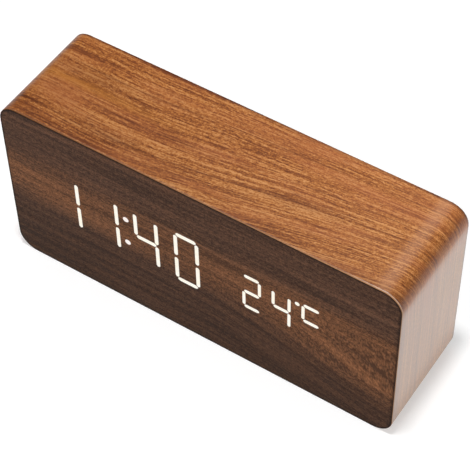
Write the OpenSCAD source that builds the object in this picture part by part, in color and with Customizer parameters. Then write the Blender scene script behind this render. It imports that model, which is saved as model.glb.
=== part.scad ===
// Wood-look digital alarm clock: a film-wrapped fibreboard sleeve with a lit display behind its front
// film, and a moulded rear cover that holds a battery bay, three buttons, a buzzer and a power socket.
// Every piece is drawn as seen from the front: X to the right, Y up from the base, Z to the viewer.
// front_view() then stands it up, so that the front faces -Y and the base lies on Z = 0.

/* [Case] */
// Overall width of the case
case_w = 150; // [146:1:200]
// Overall height of the case
case_h = 71; // [66:1:100]
// Overall depth of the case
case_d = 41.5; // [40:0.5:60]
// Outside radius of the four long corners
corner_r = 7; // [6.5:0.5:10]
// Wall of the fibreboard sleeve
board_t = 5; // [4:0.5:6]
// Thickness of the wood-grain film
film_t = 0.4; // [0.3:0.1:0.6]
// Thickness of the fibreboard front panel
panel_t = 3; // [2:0.5:4]
// Width of the rebates that the front panel and the rear cover sit in
rebate_w = 2.4; // [1.5:0.1:3]
// Gap round a panel in its rebate or window
fit_gap = 0.15; // [0.1:0.05:0.4]
// Side of a glued corner block
block_w = 9; // [8:0.5:11]
// Length of a glued corner block
block_l = 12; // [11:1:16]

/* [Display] */
// Height of the display's centre above the middle of the case
display_rise = 2.3; // [-2:0.1:4]
// Centre of the time digits, from the middle of the case
time_x = -26.4; // [-30:0.1:-24]
// Distance between neighbouring time digits
time_pitch = 15.8; // [15:0.1:17]
// Width of a time digit between the middles of its segments
time_digit_w = 8.2; // [7.5:0.1:8.5]
// Height of a time digit between the middles of its segments
time_digit_h = 22.7; // [20:0.1:28]
// Width of an upright time segment
time_upright_w = 1.4; // [1.2:0.1:2]
// Width of a level time segment
time_bar_w = 1.7; // [1.2:0.1:2]
// Diameter of a colon dot
colon_d = 2.2; // [1.5:0.1:2.6]
// Distance between the two colon dots
colon_pitch = 11.5; // [8:0.5:14]
// Centre of the temperature digits, from the middle of the case
temperature_x = 33.1; // [30:0.1:36]
// Distance between neighbouring temperature digits
temperature_pitch = 11; // [10.5:0.1:12]
// Width of a temperature digit between the middles of its segments
temperature_digit_w = 5.9; // [5.5:0.1:6.2]
// Height of a temperature digit between the middles of its segments
temperature_digit_h = 15.4; // [13:0.1:20]
// Width of an upright temperature segment
temperature_upright_w = 1.1; // [1:0.1:1.6]
// Width of a level temperature segment
temperature_bar_w = 1.5; // [1:0.1:1.6]
// Diameter of the degree dot
degree_d = 1.7; // [1.2:0.1:2]
// Gap round a lit segment in the film
light_gap = 0.05; // [0.02:0.01:0.1]
// Thickness of the diffuser sheet
diffuser_t = 0.3; // [0.2:0.1:0.6]
// Depth of the light box
light_box_d = 8.5; // [7:0.5:12]
// Rim of the light box outside the digits
light_box_rim = 3; // [2.5:0.5:5]
// Depth of the segment-shaped mouth of a light cell
mouth_d = 3; // [1:0.5:4]
// Thickness of the flange of the light box
flange_t = 1.5; // [1:0.1:2.5]
// How far the flange stands out at the two ends, where its screw posts are
flange_end = 6.2; // [6:0.1:8]
// How far the flange stands out above and below
flange_side = 3; // [2:0.5:5]
// Diameter of a screw post of the light box
post_d = 5; // [4.5:0.1:6]
// Distance between the upper and lower screw posts
post_pitch = 22; // [16:1:26]

/* [Boards] */
// Thickness of both circuit boards
pcb_t = 1.6; // [1:0.1:2]
// Width of the key board
key_pcb_w = 40; // [38:1:46]
// Height of the key board
key_pcb_h = 32; // [30:1:40]
// Gap between the buzzer's cup and the wall of the sleeve, which sets the key board's place too
buzzer_wall_gap = 0.3; // [0.3:0.1:1.5]
// Diameter of the small board screws
board_screw_d = 1.9; // [1.6:0.1:2.2]
// Radial play of a screw in its hole
screw_play = 0.06; // [0.04:0.01:0.1]
// Diameter of the buzzer
buzzer_d = 12; // [10:0.5:13]
// Height of the buzzer
buzzer_h = 6.5; // [5:0.5:9]
// Diameter of a battery lead
lead_d = 1.4; // [1:0.1:1.8]
// Diameter of a buzzer lead
buzzer_lead_d = 1; // [0.8:0.1:1.4]
// Width of the ribbon between the boards
ribbon_w = 7.6; // [5:0.1:10]
// Thickness of the ribbon
ribbon_t = 0.9; // [0.6:0.1:1.2]

/* [Rear cover] */
// Depth of the rear cover below the rear rim of the case
cover_recess = 1.5; // [1:0.1:3]
// Thickness of the rear cover
cover_t = 2.2; // [1.8:0.1:3]
// Radius of the outer edges of the cover and the battery door
cover_edge_r = 0.5; // [0.3:0.1:0.8]
// Thickness of the stiffening ribs inside the cover
rib_t = 1.2; // [0.8:0.1:2]
// Height of the stiffening ribs
rib_h = 2; // [1:0.5:3]
// Diameter of a cover screw
cover_screw_d = 2.6; // [2:0.1:3]
// Length of a cover screw
cover_screw_l = 11; // [8:0.5:12]
// Diameter of a cover screw's head
cover_screw_head_d = 5.2; // [4.6:0.1:5.6]
// Diameter of a button cap
button_d = 7; // [6:0.5:8]
// Distance between neighbouring buttons
button_pitch = 11.5; // [11:0.5:13]
// How far a button stands out of the cover
button_proud = 1; // [0.7:0.1:1.4]
// Travel of a button
button_travel = 0.5; // [0.3:0.1:0.7]
// Radial gap round a button in the cover
button_gap = 0.2; // [0.15:0.05:0.4]
// Width of the well that takes the body of a power plug
plug_well_w = 11.4; // [10.5:0.1:13]
// Height of the well
plug_well_h = 7; // [6.5:0.1:9]
// Width of the power socket's shell
socket_w = 7.6; // [7:0.1:8]
// Height of the power socket's shell
socket_h = 3; // [2.8:0.1:3.4]
// Sheet thickness of the power socket's shell
socket_t = 0.3; // [0.2:0.05:0.4]

/* [Battery bay] */
// Diameter of a battery cell
cell_d = 10.5; // [9:0.1:13]
// Length of a battery cell with its stud
cell_l = 44.5; // [40:0.5:48]
// Gap between neighbouring cells
cell_gap = 0.5; // [0.3:0.1:1]
// Length of a cell spring in place
spring_l = 4; // [3.6:0.1:5]
// Wire of a cell spring
spring_wire = 0.6; // [0.5:0.05:0.7]
// Curls of a cell spring
spring_curls = 3; // [2:1:3]
// Thickness of the contact plates
contact_t = 0.4; // [0.3:0.05:0.6]
// Wall of the battery bay
bay_wall = 2.2; // [2:0.1:3]
// Floor of the battery bay
bay_floor_t = 1.4; // [1:0.1:2]
// Centre of the battery bay, from the middle of the case
bay_x = 28; // [27:0.5:32]
// Thickness of the battery door
door_t = 2.4; // [2.2:0.1:3.2]
// Gap round the battery door
door_gap = 0.3; // [0.25:0.05:0.5]
// How far the door overlaps the rim of the bay on each side
door_lap = 1; // [0.6:0.1:1.4]
// Diameter of the door's hinge pins
pin_d = 1.5; // [1.2:0.1:1.8]
// Length of the door's hinge pins
pin_l = 2; // [1.5:0.1:2.5]
// Radial clearance of a hinge pin in its socket
pin_play = 0.08; // [0.05:0.01:0.1]

/* [Hidden] */
$fn = 48;

// Overlap that joins solids of one piece, and overcut of a hole
eps = 0.1;
mid_y = case_h / 2;

// Sleeve: inner hollow, and the outline of its two rebates
hollow_w = case_w - 2 * (film_t + board_t);
hollow_h = case_h - 2 * (film_t + board_t);
hollow_r = corner_r - film_t - board_t;
rebate_outline_w = hollow_w + 2 * rebate_w;
rebate_outline_h = hollow_h + 2 * rebate_w;
rebate_outline_r = hollow_r + rebate_w;
// Outline of the front panel and of the rear cover in their rebates
plate_w = rebate_outline_w - 2 * fit_gap;
plate_h = rebate_outline_h - 2 * fit_gap;
plate_r = rebate_outline_r - fit_gap;

// Levels from the front to the rear
z_front = case_d / 2;
// Radius of the front film's edge, as a share of its thickness
film_edge_share = 0.75;
z_rear = -case_d / 2;
z_board_front = z_front - film_t;
z_panel_back = z_board_front - panel_t;
z_box_front = z_board_front - diffuser_t;
z_box_back = z_box_front - light_box_d;
z_pcb_back = z_box_back - pcb_t;
z_cover_out = z_rear + cover_recess;
z_cover_in = z_cover_out + cover_t;

// Segments a to g of a digit: half widths across, quarter heights up, turn
SEGMENTS = [[0, 2, 0], [1, 1, 90], [1, -1, 90], [0, -2, 0], [-1, -1, 90], [-1, 1, 90], [0, 0, 0]];
ALL_SEGMENTS = [0, 1, 2, 3, 4, 5, 6];
ONE = [1, 2];
TWO = [0, 1, 3, 4, 6];
FOUR = [1, 2, 5, 6];
ZERO = [0, 1, 2, 3, 4, 5];
LETTER_C = [0, 5, 6];
// Shortening of an upright in bar widths, and of a bar in upright widths
upright_trim = 0.85;
bar_trim = 0.37;
// Length of a segment's pointed end and half width of its tip, in segment widths
segment_point = 0.4;
segment_tip = 0.2;

display_y = mid_y + display_rise;
time_digit = [time_digit_w, time_digit_h, time_upright_w, time_bar_w];
temperature_digit = [
  temperature_digit_w, temperature_digit_h, temperature_upright_w, temperature_bar_w
];
time_places = [for (i = [0 : 3]) time_x + (i - 1.5) * time_pitch];
temperature_places = [for (i = [-1 : 1]) temperature_x + i * temperature_pitch];

// One segment as [x, y, turn, length, width]
function segment_place(x, digit, s) = [
  x + SEGMENTS[s][0] * digit[0] / 2,
  display_y + SEGMENTS[s][1] * digit[1] / 4,
  SEGMENTS[s][2],
  SEGMENTS[s][2] == 0 ? digit[0] - bar_trim * digit[2] : digit[1] / 2 - upright_trim * digit[3],
  SEGMENTS[s][2] == 0 ? digit[3] : digit[2]
];
function lit_segments(places, digit, signs) =
  [for (i = [0 : len(places) - 1]) for (s = signs[i]) segment_place(places[i], digit, s)];

lit_time = lit_segments(time_places, time_digit, [ONE, ONE, FOUR, ZERO]);
lit_degrees = lit_segments(temperature_places, temperature_digit, [TWO, FOUR, LETTER_C]);
time_cells = lit_segments(time_places, time_digit, [for (i = [0 : 3]) ALL_SEGMENTS]);
temperature_cells = lit_segments(
  temperature_places, temperature_digit, [ALL_SEGMENTS, ALL_SEGMENTS, LETTER_C]);
segment_cells = concat(time_cells, temperature_cells);

// Dots as [x, y, diameter]
colon_dots = [for (s = [-1, 1]) [time_x, display_y + s * colon_pitch / 2, colon_d]];
degree_shift = 0.4;
degree_x = (temperature_places[1] + temperature_places[2]) / 2 + degree_shift;
degree_dot = [degree_x, display_y + temperature_digit_h / 2 - degree_d / 2, degree_d];
dot_cells = concat(colon_dots, [degree_dot]);

// Light box: outline round all the digits
box_left = time_places[0] - time_digit_w / 2 - time_upright_w / 2 - light_box_rim;
box_right = temperature_places[2] + temperature_digit_w / 2 + temperature_upright_w / 2 + light_box_rim;
box_w = box_right - box_left;
box_h = time_digit_h + time_bar_w + 2 * light_box_rim;
box_x = (box_left + box_right) / 2;
// Room of a light cell behind its mouth, in segment widths
cell_room_w = 1.6;
cell_room_trim = 1.7;
post_places = [
  for (x = [box_left - flange_end / 2, box_right + flange_end / 2]) for (s = [-1, 1])
    [x, display_y + s * post_pitch / 2]
];
led_size = [1.6, 0.8, 0.7];
led_room = 0.4;
display_pcb_w = box_w + 2 * flange_end;
display_pcb_margin = 1;
display_pcb_h = box_h + 2 * (flange_side + display_pcb_margin);

// Small board screws
screw_head_d = 2 * board_screw_d;
screw_head_taper = 0.8;
screw_top_d = screw_head_d - screw_head_taper;
screw_head_h = 1.3;
// Cross recess of a screw: arm and slot in head diameters, and its depth
recess_arm = 0.62;
recess_slot = 0.14;
recess_depth = 0.7;
screw_depth = 4;

// Parts on the rear of the display board
chip_place = [-18, display_y];
chip_size = [17.9, 7.5, 2.3];
chip_legs = 14;
chip_leg_pitch = 1.27;
crystal_place = [6, display_y + 8];
crystal_size = [11.2, 4.7, 3.6];
capacitor_place = [16, display_y - 9];
capacitor_d = 6.3;
capacitor_h = 7.7;
transistor_y = display_y + 13;
transistor_x = -46;
transistor_pitch = 8;
transistor_count = 4;
transistor_size = [2.9, 1.3, 1.1];
header_size = [4.5, 6.5, 5.5];
header_place = [-7, display_y - 7.5];
header_pin_pitch = 2.5;

// Buzzer and key board side by side, from the left wall of the sleeve
buzzer_cup_t = 1.2;
buzzer_cup_r = buzzer_d / 2 + fit_gap + buzzer_cup_t;
buzzer_set_off = 0.6;
buzzer_drop = 11;
buzzer_place = [buzzer_wall_gap + buzzer_cup_r - hollow_w / 2, mid_y - buzzer_drop];
key_pcb_x = buzzer_place[0] + buzzer_cup_r + buzzer_set_off + key_pcb_w / 2;

// Buttons, from the cover inwards
button_rise = 10;
button_y = mid_y + button_rise;
button_flange_d = button_d + 2;
button_flange_t = 1.2;
button_flange_gap = 0.15;
button_stem_d = 4;
button_hole_bevel = 0.4;
stem_l = 2.6;
button_places = [for (i = [-1 : 1]) key_pcb_x + i * button_pitch];
plunger_d = 3.4;
plunger_out = 1.4;
plunger_in = 0.4;
plunger_play = 0.08;
plunger_room = 0.3;
switch_w = 6;
switch_h = 3.4;
switch_bevel = 0.6;
z_stem = z_cover_in + stem_l;
z_switch = z_stem + plunger_out;
z_key_pcb = z_switch + switch_h;
z_key_pcb_front = z_key_pcb + pcb_t;

// Key board: its place, its two bosses on the cover and the power socket
key_pcb_rise = 2;
key_pcb_y = mid_y + key_pcb_rise;
boss_d = 5.2;
boss_inset = 3.2;
boss_drop = 1;
boss_places = [for (s = [-1, 1]) [key_pcb_x + s * (key_pcb_w / 2 - boss_inset), key_pcb_y - boss_drop]];
boss_bore = 5;
socket_drop = 8;
socket_place = [key_pcb_x, mid_y - socket_drop];
socket_bevel = 0.9;
socket_margin = 0.25;
// Well round the socket: its floor lies a step inside the cover, level with the socket's mouth
plug_well_r = 1.2;
plug_well_wall = 1.2;
plug_well_step = 0.2;
plug_well_floor_t = 1.2;
z_socket = z_cover_in + plug_well_step;
z_well_back = z_socket + plug_well_floor_t;
tongue_w = 5.2;
tongue_t = 0.7;
tongue_set_back = 1;
socket_base_h = 3;

// Ribbon: two headers and an S of two equal arcs between them
ribbon_header_h = 3.4;
ribbon_header_t = 4;
ribbon_header_wall = 1.2;
ribbon_header_w = ribbon_w + 2 * ribbon_header_wall;
ribbon_x = key_pcb_x;
ribbon_y = key_pcb_y + 3;
ribbon_offset = 4;
ribbon_span = z_pcb_back - z_key_pcb_front - 2 * ribbon_header_h;
ribbon_angle = 2 * atan(ribbon_offset / ribbon_span);
ribbon_r = ribbon_span / (2 * sin(ribbon_angle));
ribbon_steps = 6;

// Temperature sensor on two bent wires at the edge of the key board
sensor_wire_d = 0.5;
sensor_bead_d = 2.4;
sensor_pitch = 1.2;
sensor_reach = 4.6;
sensor_lift = 4;
sensor_inset = 1.6;
sensor_rise = 12.5;
sensor_y = mid_y + sensor_rise;
sensor_foot_x = key_pcb_x - key_pcb_w / 2 + sensor_inset;

// Buzzer cup, sound holes and vents of the cover
buzzer_hole_d = 2;
buzzer_hole_l = 2;
buzzer_cup_h = 4;
sound_hole_d = 1.5;
sound_hole_ring = 3.2;
sound_holes = 6;
// Leads of the buzzer, from its front to the edge of the key board
buzzer_lead_pitch = 2.5;
buzzer_lead_inset = 2;
buzzer_lead_arch = 3.5;
vent_place = [sensor_foot_x - sensor_reach, sensor_y];
vent_w = 1.2;
vent_l = 8;
vent_pitch = 2.6;

// Stiffening ribs of the cover: one upright beside the battery bay, and one across at the socket
rib_end_gap = 2;
rib_upright_l = hollow_h - 2 * rib_end_gap;

// Corner blocks and the screws that go into them
screw_place_x = hollow_w / 2 - block_w / 2;
screw_place_y = hollow_h / 2 - block_w / 2;
cover_screw_head_h = 1.5;

// Battery bay: cells stacked upwards, each lying along X, with their polarity in turn
cell_count = 3;
cell_pitch = cell_d + cell_gap;
cell_end_gap = 0.1;
cell_seat_gap = 0.1;
cell_door_gap = 0.4;
bay_y = mid_y;
bay_w = cell_l + spring_l + cell_end_gap + 2 * contact_t;
bay_h = cell_count * cell_pitch + cell_gap;
bay_left = bay_x - bay_w / 2;
bay_right = bay_x + bay_w / 2;
bay_corner_r = 1.5;
z_door_in = z_cover_out + door_t;
z_cell = z_door_in + cell_door_gap + cell_d / 2;
z_bay_floor = z_cell + cell_d / 2 + cell_seat_gap;
z_bay_back = z_bay_floor + bay_floor_t;
function cell_y(i) = bay_y + (i - (cell_count - 1) / 2) * cell_pitch;
cell_rib_l = bay_w - 2 * (spring_l + contact_t);
cell_rib_h = 2.4;
cell_rib_w = 2.6;
cell_rib_tip = 0.8;

// Cell ends: stud, shoulders, contact plates and solder tabs
cell_stud_d = 5.5;
cell_stud_l = 1;
cell_shoulder = 0.6;
contact_w = 8;
contact_h = 9;
tab_w = 3;
tab_l = 2.5;
tab_slot_gap = 0.2;
z_tab = z_cell + contact_w / 2 - contact_t;

rib_x = (key_pcb_x + key_pcb_w / 2 + bay_left - bay_wall) / 2;

// Battery door: hinge line, snap bead and grip ridges
door_w = bay_w + 2 * door_lap;
door_h = bay_h + 2 * door_lap;
door_bottom = bay_y - door_h / 2;
door_top = bay_y + door_h / 2;
hinge_y = door_bottom + door_t / 2;
hinge_z = z_cover_out + door_t / 2;
ledge_gap = 0.15;
lug_w = 3.4;
lug_h = 5;
lug_d = hinge_z + lug_h / 2 - z_cover_out;
pin_end_gap = 0.3;
bead_d = 0.4;
bead_l = 14;
grip_ridges = 4;
grip_pitch = 1.6;
grip_d = 0.9;
grip_l = 18;
grip_inset = 3;
notch_d = 14;
notch_depth = 1.2;

// Cell springs: cone-shaped coils with their axis along X
spring_base_r = 3.6;
spring_tip_r = 2.4;
curl_rings = 8;
wire_sides = 6;
spring_rings = spring_curls * curl_rings;
spring_end_gap = 0.05;
spring_rise = spring_l - spring_wire - 2 * spring_end_gap;
function spring_radius(t) = spring_base_r + (spring_tip_r - spring_base_r) * t;
spring_path = [
  for (i = [0 : spring_rings]) let (t = i / spring_rings, a = 360 * spring_curls * t)
    [spring_wire / 2 + spring_end_gap + spring_rise * t, spring_radius(t) * cos(a), spring_radius(t) * sin(a)]
];
// Least distance between points at least half a curl apart, less the wire
spring_gap = min([
  for (i = [0 : spring_rings]) for (j = [i + curl_rings / 2 : 1 : spring_rings])
    norm(spring_path[i] - spring_path[j])
]) - spring_wire;
echo("least gap between the curls of a spring", spring_gap);

// Battery leads: from the solder tabs to the header, along points chosen by hand
lead_sides = 8;
lead_steps = 4;
z_header = z_pcb_back - header_size[2];
black_start = [bay_left - bay_wall - tab_l, cell_y(0), z_tab + contact_t / 2];
black_end = [header_place[0], header_place[1] - header_pin_pitch / 2, z_header];
black_route = [
  black_start, black_start + [-2, 0, 0], black_start + [-4.5, 1, 2], black_end + [-0.5, -1, -5],
  black_end + [0, 0, -2], black_end
];
red_start = [bay_right + bay_wall + tab_l, cell_y(cell_count - 1), z_tab + contact_t / 2];
red_end = [header_place[0], header_place[1] + header_pin_pitch / 2, z_header];
red_top = bay_y + bay_h / 2 + bay_wall + 3;
red_route = [
  red_start, red_start + [2, 0, 0], [red_start[0] + 3, red_start[1] + 4, -4],
  [red_start[0] - 2, red_top, -2], [bay_x + 10, red_top + 1, -1], [bay_left + 4, red_top, -1],
  [bay_left - 6, red_top - 8, -1], red_end + [0.5, 8, -4], red_end + [0, 0, -2], red_end
];

// Point at step u of the curve through p1 and p2, with p0 and p3 as its neighbours
function curve_point(p0, p1, p2, p3, u) = 0.5 * (
  2 * p1 + (p2 - p0) * u + (2 * p0 - 5 * p1 + 4 * p2 - p3) * u * u + (3 * p1 - p0 - 3 * p2 + p3) * u * u * u);
// Smooth route whose first and last stretch are straight
function smooth_route(p) = concat(
  [p[0]],
  [for (i = [1 : len(p) - 3]) for (k = [0 : lead_steps - 1])
    curve_point(p[i - 1], p[i], p[i + 1], p[i + 2], k / lead_steps)],
  [p[len(p) - 2], p[len(p) - 1]]
);
function unit(v) = v / norm(v);
function heading(p, i) = unit(p[min(i + 1, len(p) - 1)] - p[max(i - 1, 0)]);
// Side direction at each point, carried along the route without twist
function carried(n, t) = unit(n - (n * t) * t);
function side_rows(p, i, n) =
  i == len(p) ? [] : let (m = carried(n, heading(p, i))) concat([m], side_rows(p, i + 1, m));

// Closed tube of triangles along the points p, starting with its sides square to first_side
module tube(p, r, sides, first_side) {
  rows = side_rows(p, 0, first_side);
  n = len(p);
  points = [
    for (i = [0 : n - 1]) let (t = heading(p, i), u = rows[i], v = cross(t, u)) for (k = [0 : sides - 1])
      p[i] + r * (cos(360 * k / sides) * u + sin(360 * k / sides) * v)
  ];
  walls = [
    for (i = [0 : n - 2]) for (k = [0 : sides - 1])
      let (a = i * sides + k, b = i * sides + (k + 1) % sides)
        each [[a, a + sides, b + sides], [a, b + sides, b]]
  ];
  caps = [for (k = [1 : sides - 2]) each [[0, k, k + 1], [0, k + 1, k] + (n - 1) * sides * [1, 1, 1]]];
  polyhedron(points, concat(walls, caps));
}

// Helpers
module front_view() {
  rotate([90, 0, 0]) children();
}

// Rectangle with round corners about the origin
module round_rect(w, h, r) {
  square([w - 2 * r, h], center = true);
  square([w, h - 2 * r], center = true);
  for (sx = [-1, 1], sy = [-1, 1])
    translate([sx * (w / 2 - r), sy * (h / 2 - r)]) circle(r);
}

// Profile swept round a rectangle with round corners that stands on Y = base.
// The profile's X runs outwards from the corner's centre, and its Y is the depth.
// Sides count from the top to the left, and corner i lies at the left end of side i.
module sweep_round(w, h, r, base, sides = [0 : 3], corners = [0 : 3]) {
  module along_side(i) {
    side = i % 2 == 0 ? w : h;
    reach = i % 2 == 0 ? h / 2 : w / 2;
    translate([0, base + h / 2, 0]) rotate([0, 0, 90 * i])
      translate([r - side / 2, reach - r, 0]) children();
  }
  for (i = sides)
    along_side(i) rotate([90, 0, 90]) linear_extrude((i % 2 == 0 ? w : h) - 2 * r) children();
  for (i = corners)
    along_side(i) rotate([0, 0, 90]) rotate_extrude(angle = 90) children();
}

// Plate with round corners that stands on Y = base, from z to the front, with a rounded front edge
module edged_plate(w, h, r, base, z, t, edge) {
  translate([0, 0, z]) {
    sweep_round(w, h, r, base) union() {
      square([r, t - edge]);
      translate([0, t - edge]) square([r - edge, edge]);
      translate([r - edge, t - edge]) quarter_disc(edge);
    }
    translate([0, base + h / 2, 0]) linear_extrude(t) square([w - 2 * r, h - 2 * r], center = true);
  }
}

module quarter_disc(r) {
  intersection() {
    circle(r);
    square(r);
  }
}

// Six-sided outline of a segment about the origin, lying along X
module segment_outline(l, w, grow) {
  long = l / 2 + grow;
  half = w / 2 + grow;
  shoulder = l / 2 - segment_point * w + grow / 2;
  tip = segment_tip * w + grow / 2;
  polygon([
    [-long, -tip], [-shoulder, -half], [shoulder, -half], [long, -tip],
    [long, tip], [shoulder, half], [-shoulder, half], [-long, tip]
  ]);
}

module segments(list, z, t, grow) {
  for (s = list)
    at(s, z) rotate([0, 0, s[2]]) linear_extrude(t) segment_outline(s[3], s[4], grow);
}

module dots(list, z, t, grow) {
  for (d = list)
    at(d, z) cylinder(d = d[2] + 2 * grow, h = t);
}

// Moves to a place on the face, at the level z
module at(place, z) {
  translate([place[0], place[1], z]) children();
}

module box_at(x, y, z, size) {
  translate([x - size[0] / 2, y - size[1] / 2, z]) cube(size);
}

// Bar along X with a profile drawn in depth: the profile's X is Y, and its Y is Z
module bar_along_x(x, l) {
  translate([x - l / 2, 0, 0]) rotate([90, 0, 90]) linear_extrude(l) children();
}

module rod_along_x(x, y, z, d, l) {
  translate([x, y, z]) rotate([0, 90, 0]) cylinder(d = d, h = l);
}

// Pan-head screw: its head ends at z, and its shank runs to the front or to the rear
module board_screw(z, way, depth) {
  rotate([way > 0 ? 0 : 180, 0, 0]) translate([0, 0, way * z]) {
    translate([0, 0, -screw_head_h]) difference() {
      cylinder(d1 = screw_top_d, d2 = screw_head_d, h = screw_head_h);
      cross_recess(screw_head_d);
    }
    cylinder(d = board_screw_d, h = depth);
  }
}

module cross_recess(head_d) {
  arm = recess_arm * head_d;
  slot = recess_slot * head_d;
  for (turn = [0, 90])
    rotate([0, 0, turn]) translate([-arm / 2, -slot / 2, -eps]) cube([arm, slot, recess_depth + eps]);
}

// Case
module case_sleeve() {
  inner = hollow_r;
  shelf = inner + rebate_w;
  outer = corner_r - film_t;
  z_shelf = z_cover_in;
  color("burlywood") front_view()
    sweep_round(case_w - 2 * film_t, case_h - 2 * film_t, outer, film_t)
      polygon([
        [inner, z_shelf], [shelf, z_shelf], [shelf, z_rear], [outer, z_rear],
        [outer, z_board_front], [shelf, z_board_front], [shelf, z_panel_back], [inner, z_panel_back]
      ]);
}

// Section of the wrapped film, rounded at its front and rear edges
module film_section() {
  translate([corner_r - film_t, z_rear + film_t]) square([film_t, z_board_front - z_rear - 2 * film_t]);
  translate([corner_r - film_t, z_board_front - film_t]) quarter_disc(film_t);
  translate([corner_r - film_t, z_rear + film_t]) mirror([0, 1]) quarter_disc(film_t);
}

// Film over the top, both ends and all four corners, with its seams at the base
module case_film() {
  color("sienna") front_view()
    sweep_round(case_w, case_h, corner_r, 0, sides = [0, 1, 3]) film_section();
}

module base_film() {
  color("sienna") front_view()
    sweep_round(case_w, case_h, corner_r, 0, sides = [2], corners = []) film_section();
}

module corner_blocks() {
  cut = hollow_r + fit_gap;
  color("tan") front_view() for (sx = [-1, 1], sy = [-1, 1]) difference() {
    translate([sx * hollow_w / 2, mid_y + sy * hollow_h / 2, z_cover_in]) linear_extrude(block_l)
      polygon([
        [-sx * cut, 0], [-sx * block_w, 0], [-sx * block_w, -sy * block_w],
        [0, -sy * block_w], [0, -sy * cut]
      ]);
    translate([sx * screw_place_x, mid_y + sy * screw_place_y, z_cover_in - eps])
      cylinder(d = cover_screw_d + 2 * screw_play, h = cover_screw_l + eps);
  }
}

module front_panel() {
  color("burlywood") front_view() difference() {
    translate([0, mid_y, z_panel_back]) linear_extrude(panel_t) round_rect(plate_w, plate_h, plate_r);
    translate([box_x, display_y, z_panel_back - eps]) linear_extrude(panel_t + 2 * eps)
      square([box_w + 2 * fit_gap, box_h + 2 * fit_gap], center = true);
  }
}

module front_film() {
  color("saddlebrown") front_view() difference() {
    edged_plate(case_w, case_h, corner_r, 0, z_board_front, film_t, film_edge_share * film_t);
    segments(concat(lit_time, lit_degrees), z_board_front - eps, film_t + 2 * eps, light_gap);
    dots(dot_cells, z_board_front - eps, film_t + 2 * eps, light_gap);
  }
}

// Display
module lit_time_digits() {
  color("ivory") front_view() segments(lit_time, z_board_front, film_t, 0);
}

module lit_colon() {
  color("mistyrose") front_view() dots(colon_dots, z_board_front, film_t, 0);
}

module lit_temperature() {
  color("ivory") front_view() {
    segments(lit_degrees, z_board_front, film_t, 0);
    dots([degree_dot], z_board_front, film_t, 0);
  }
}

module diffuser_sheet() {
  color("whitesmoke") front_view() translate([box_x, display_y, z_box_front]) linear_extrude(diffuser_t)
    square([box_w, box_h], center = true);
}

module light_box() {
  color("white") front_view() difference() {
    union() {
      translate([box_x, display_y, z_box_back]) linear_extrude(light_box_d)
        square([box_w, box_h], center = true);
      translate([box_x, display_y, z_panel_back - flange_t]) linear_extrude(flange_t)
        square([box_w + 2 * flange_end, box_h + 2 * flange_side], center = true);
      for (p = post_places)
        at(p, z_box_back) cylinder(d = post_d, h = z_panel_back - flange_t / 2 - z_box_back);
    }
    segments(segment_cells, z_box_front - mouth_d, mouth_d + eps, 0);
    for (s = segment_cells) {
      room = [s[3] - cell_room_trim * s[4], cell_room_w * s[4], light_box_d - mouth_d + eps];
      at(s, 0) rotate([0, 0, s[2]]) box_at(0, 0, z_box_back - eps, room);
    }
    dots(dot_cells, z_box_front - mouth_d, mouth_d + eps, 0);
    for (d = dot_cells)
      at(d, z_box_back - eps)
        cylinder(d = max(d[2], led_size[0] + 2 * led_room), h = light_box_d - mouth_d + 2 * eps);
    for (p = post_places)
      at(p, z_box_back - eps)
        cylinder(d = board_screw_d + 2 * screw_play, h = screw_depth - pcb_t + 2 * eps);
  }
}

module led_chips() {
  color("lemonchiffon") front_view() {
    for (s = segment_cells)
      at(s, 0) rotate([0, 0, s[2]]) box_at(0, 0, z_box_back, led_size);
    for (d = dot_cells)
      box_at(d[0], d[1], z_box_back, led_size);
  }
}

module display_board() {
  color("darkgreen") front_view() difference() {
    box_at(box_x, display_y, z_pcb_back, [display_pcb_w, display_pcb_h, pcb_t]);
    for (p = post_places)
      at(p, z_pcb_back - eps) cylinder(d = board_screw_d + 4 * screw_play, h = pcb_t + 2 * eps);
  }
}

module display_screws() {
  color("silver") front_view() for (p = post_places)
    at(p, 0) board_screw(z_pcb_back, 1, screw_depth);
}

// Circuit parts on the rear of the display board
module clock_chip() {
  leg_w = 0.42;
  leg_t = 0.3;
  leg_out = 1.4;
  stand_off = 0.1;
  mark_r = 0.9;
  mark_depth = 0.3;
  leg_rise = chip_size[2] / 2;
  body_z = z_pcb_back - chip_size[2] - stand_off;
  color("dimgray") front_view() {
    difference() {
      box_at(chip_place[0], chip_place[1], body_z, chip_size);
      at([chip_place[0] - chip_size[0] / 2, chip_place[1]], body_z - eps)
        cylinder(r = mark_r, h = mark_depth + eps);
    }
    for (i = [0 : chip_legs - 1], s = [-1, 1]) {
      x = chip_place[0] + (i - (chip_legs - 1) / 2) * chip_leg_pitch;
      y = chip_place[1] + s * (chip_size[1] / 2 + leg_out / 2 - eps / 2);
      box_at(x, y, z_pcb_back - leg_t, [leg_w, leg_out + eps, leg_t]);
      box_at(x, y - s * (leg_out - leg_t) / 2, z_pcb_back - leg_rise, [leg_w, leg_t + eps, leg_rise]);
    }
  }
}

module quartz_crystal() {
  rim = 0.4;
  rim_t = 0.5;
  module can(grow, h) {
    linear_extrude(h)
      round_rect(crystal_size[0] + 2 * grow, crystal_size[1] + 2 * grow, crystal_size[1] / 2 + grow - eps);
  }
  color("lightsteelblue") front_view() at(crystal_place, z_pcb_back) mirror([0, 0, 1]) {
    can(rim, rim_t);
    can(0, crystal_size[2]);
  }
}

module drive_transistors() {
  leg_size = [0.4, 1.2, 0.3];
  leg_pitch = 1.9;
  legs = [[-leg_pitch / 2, -1], [leg_pitch / 2, -1], [0, 1]];
  color("black") front_view() for (i = [0 : transistor_count - 1])
    at([transistor_x + i * transistor_pitch, transistor_y], z_pcb_back) mirror([0, 0, 1]) {
      box_at(0, 0, 0, transistor_size);
      for (leg = legs)
        box_at(leg[0], leg[1] * transistor_size[1] / 2, 0, leg_size);
    }
}

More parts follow.
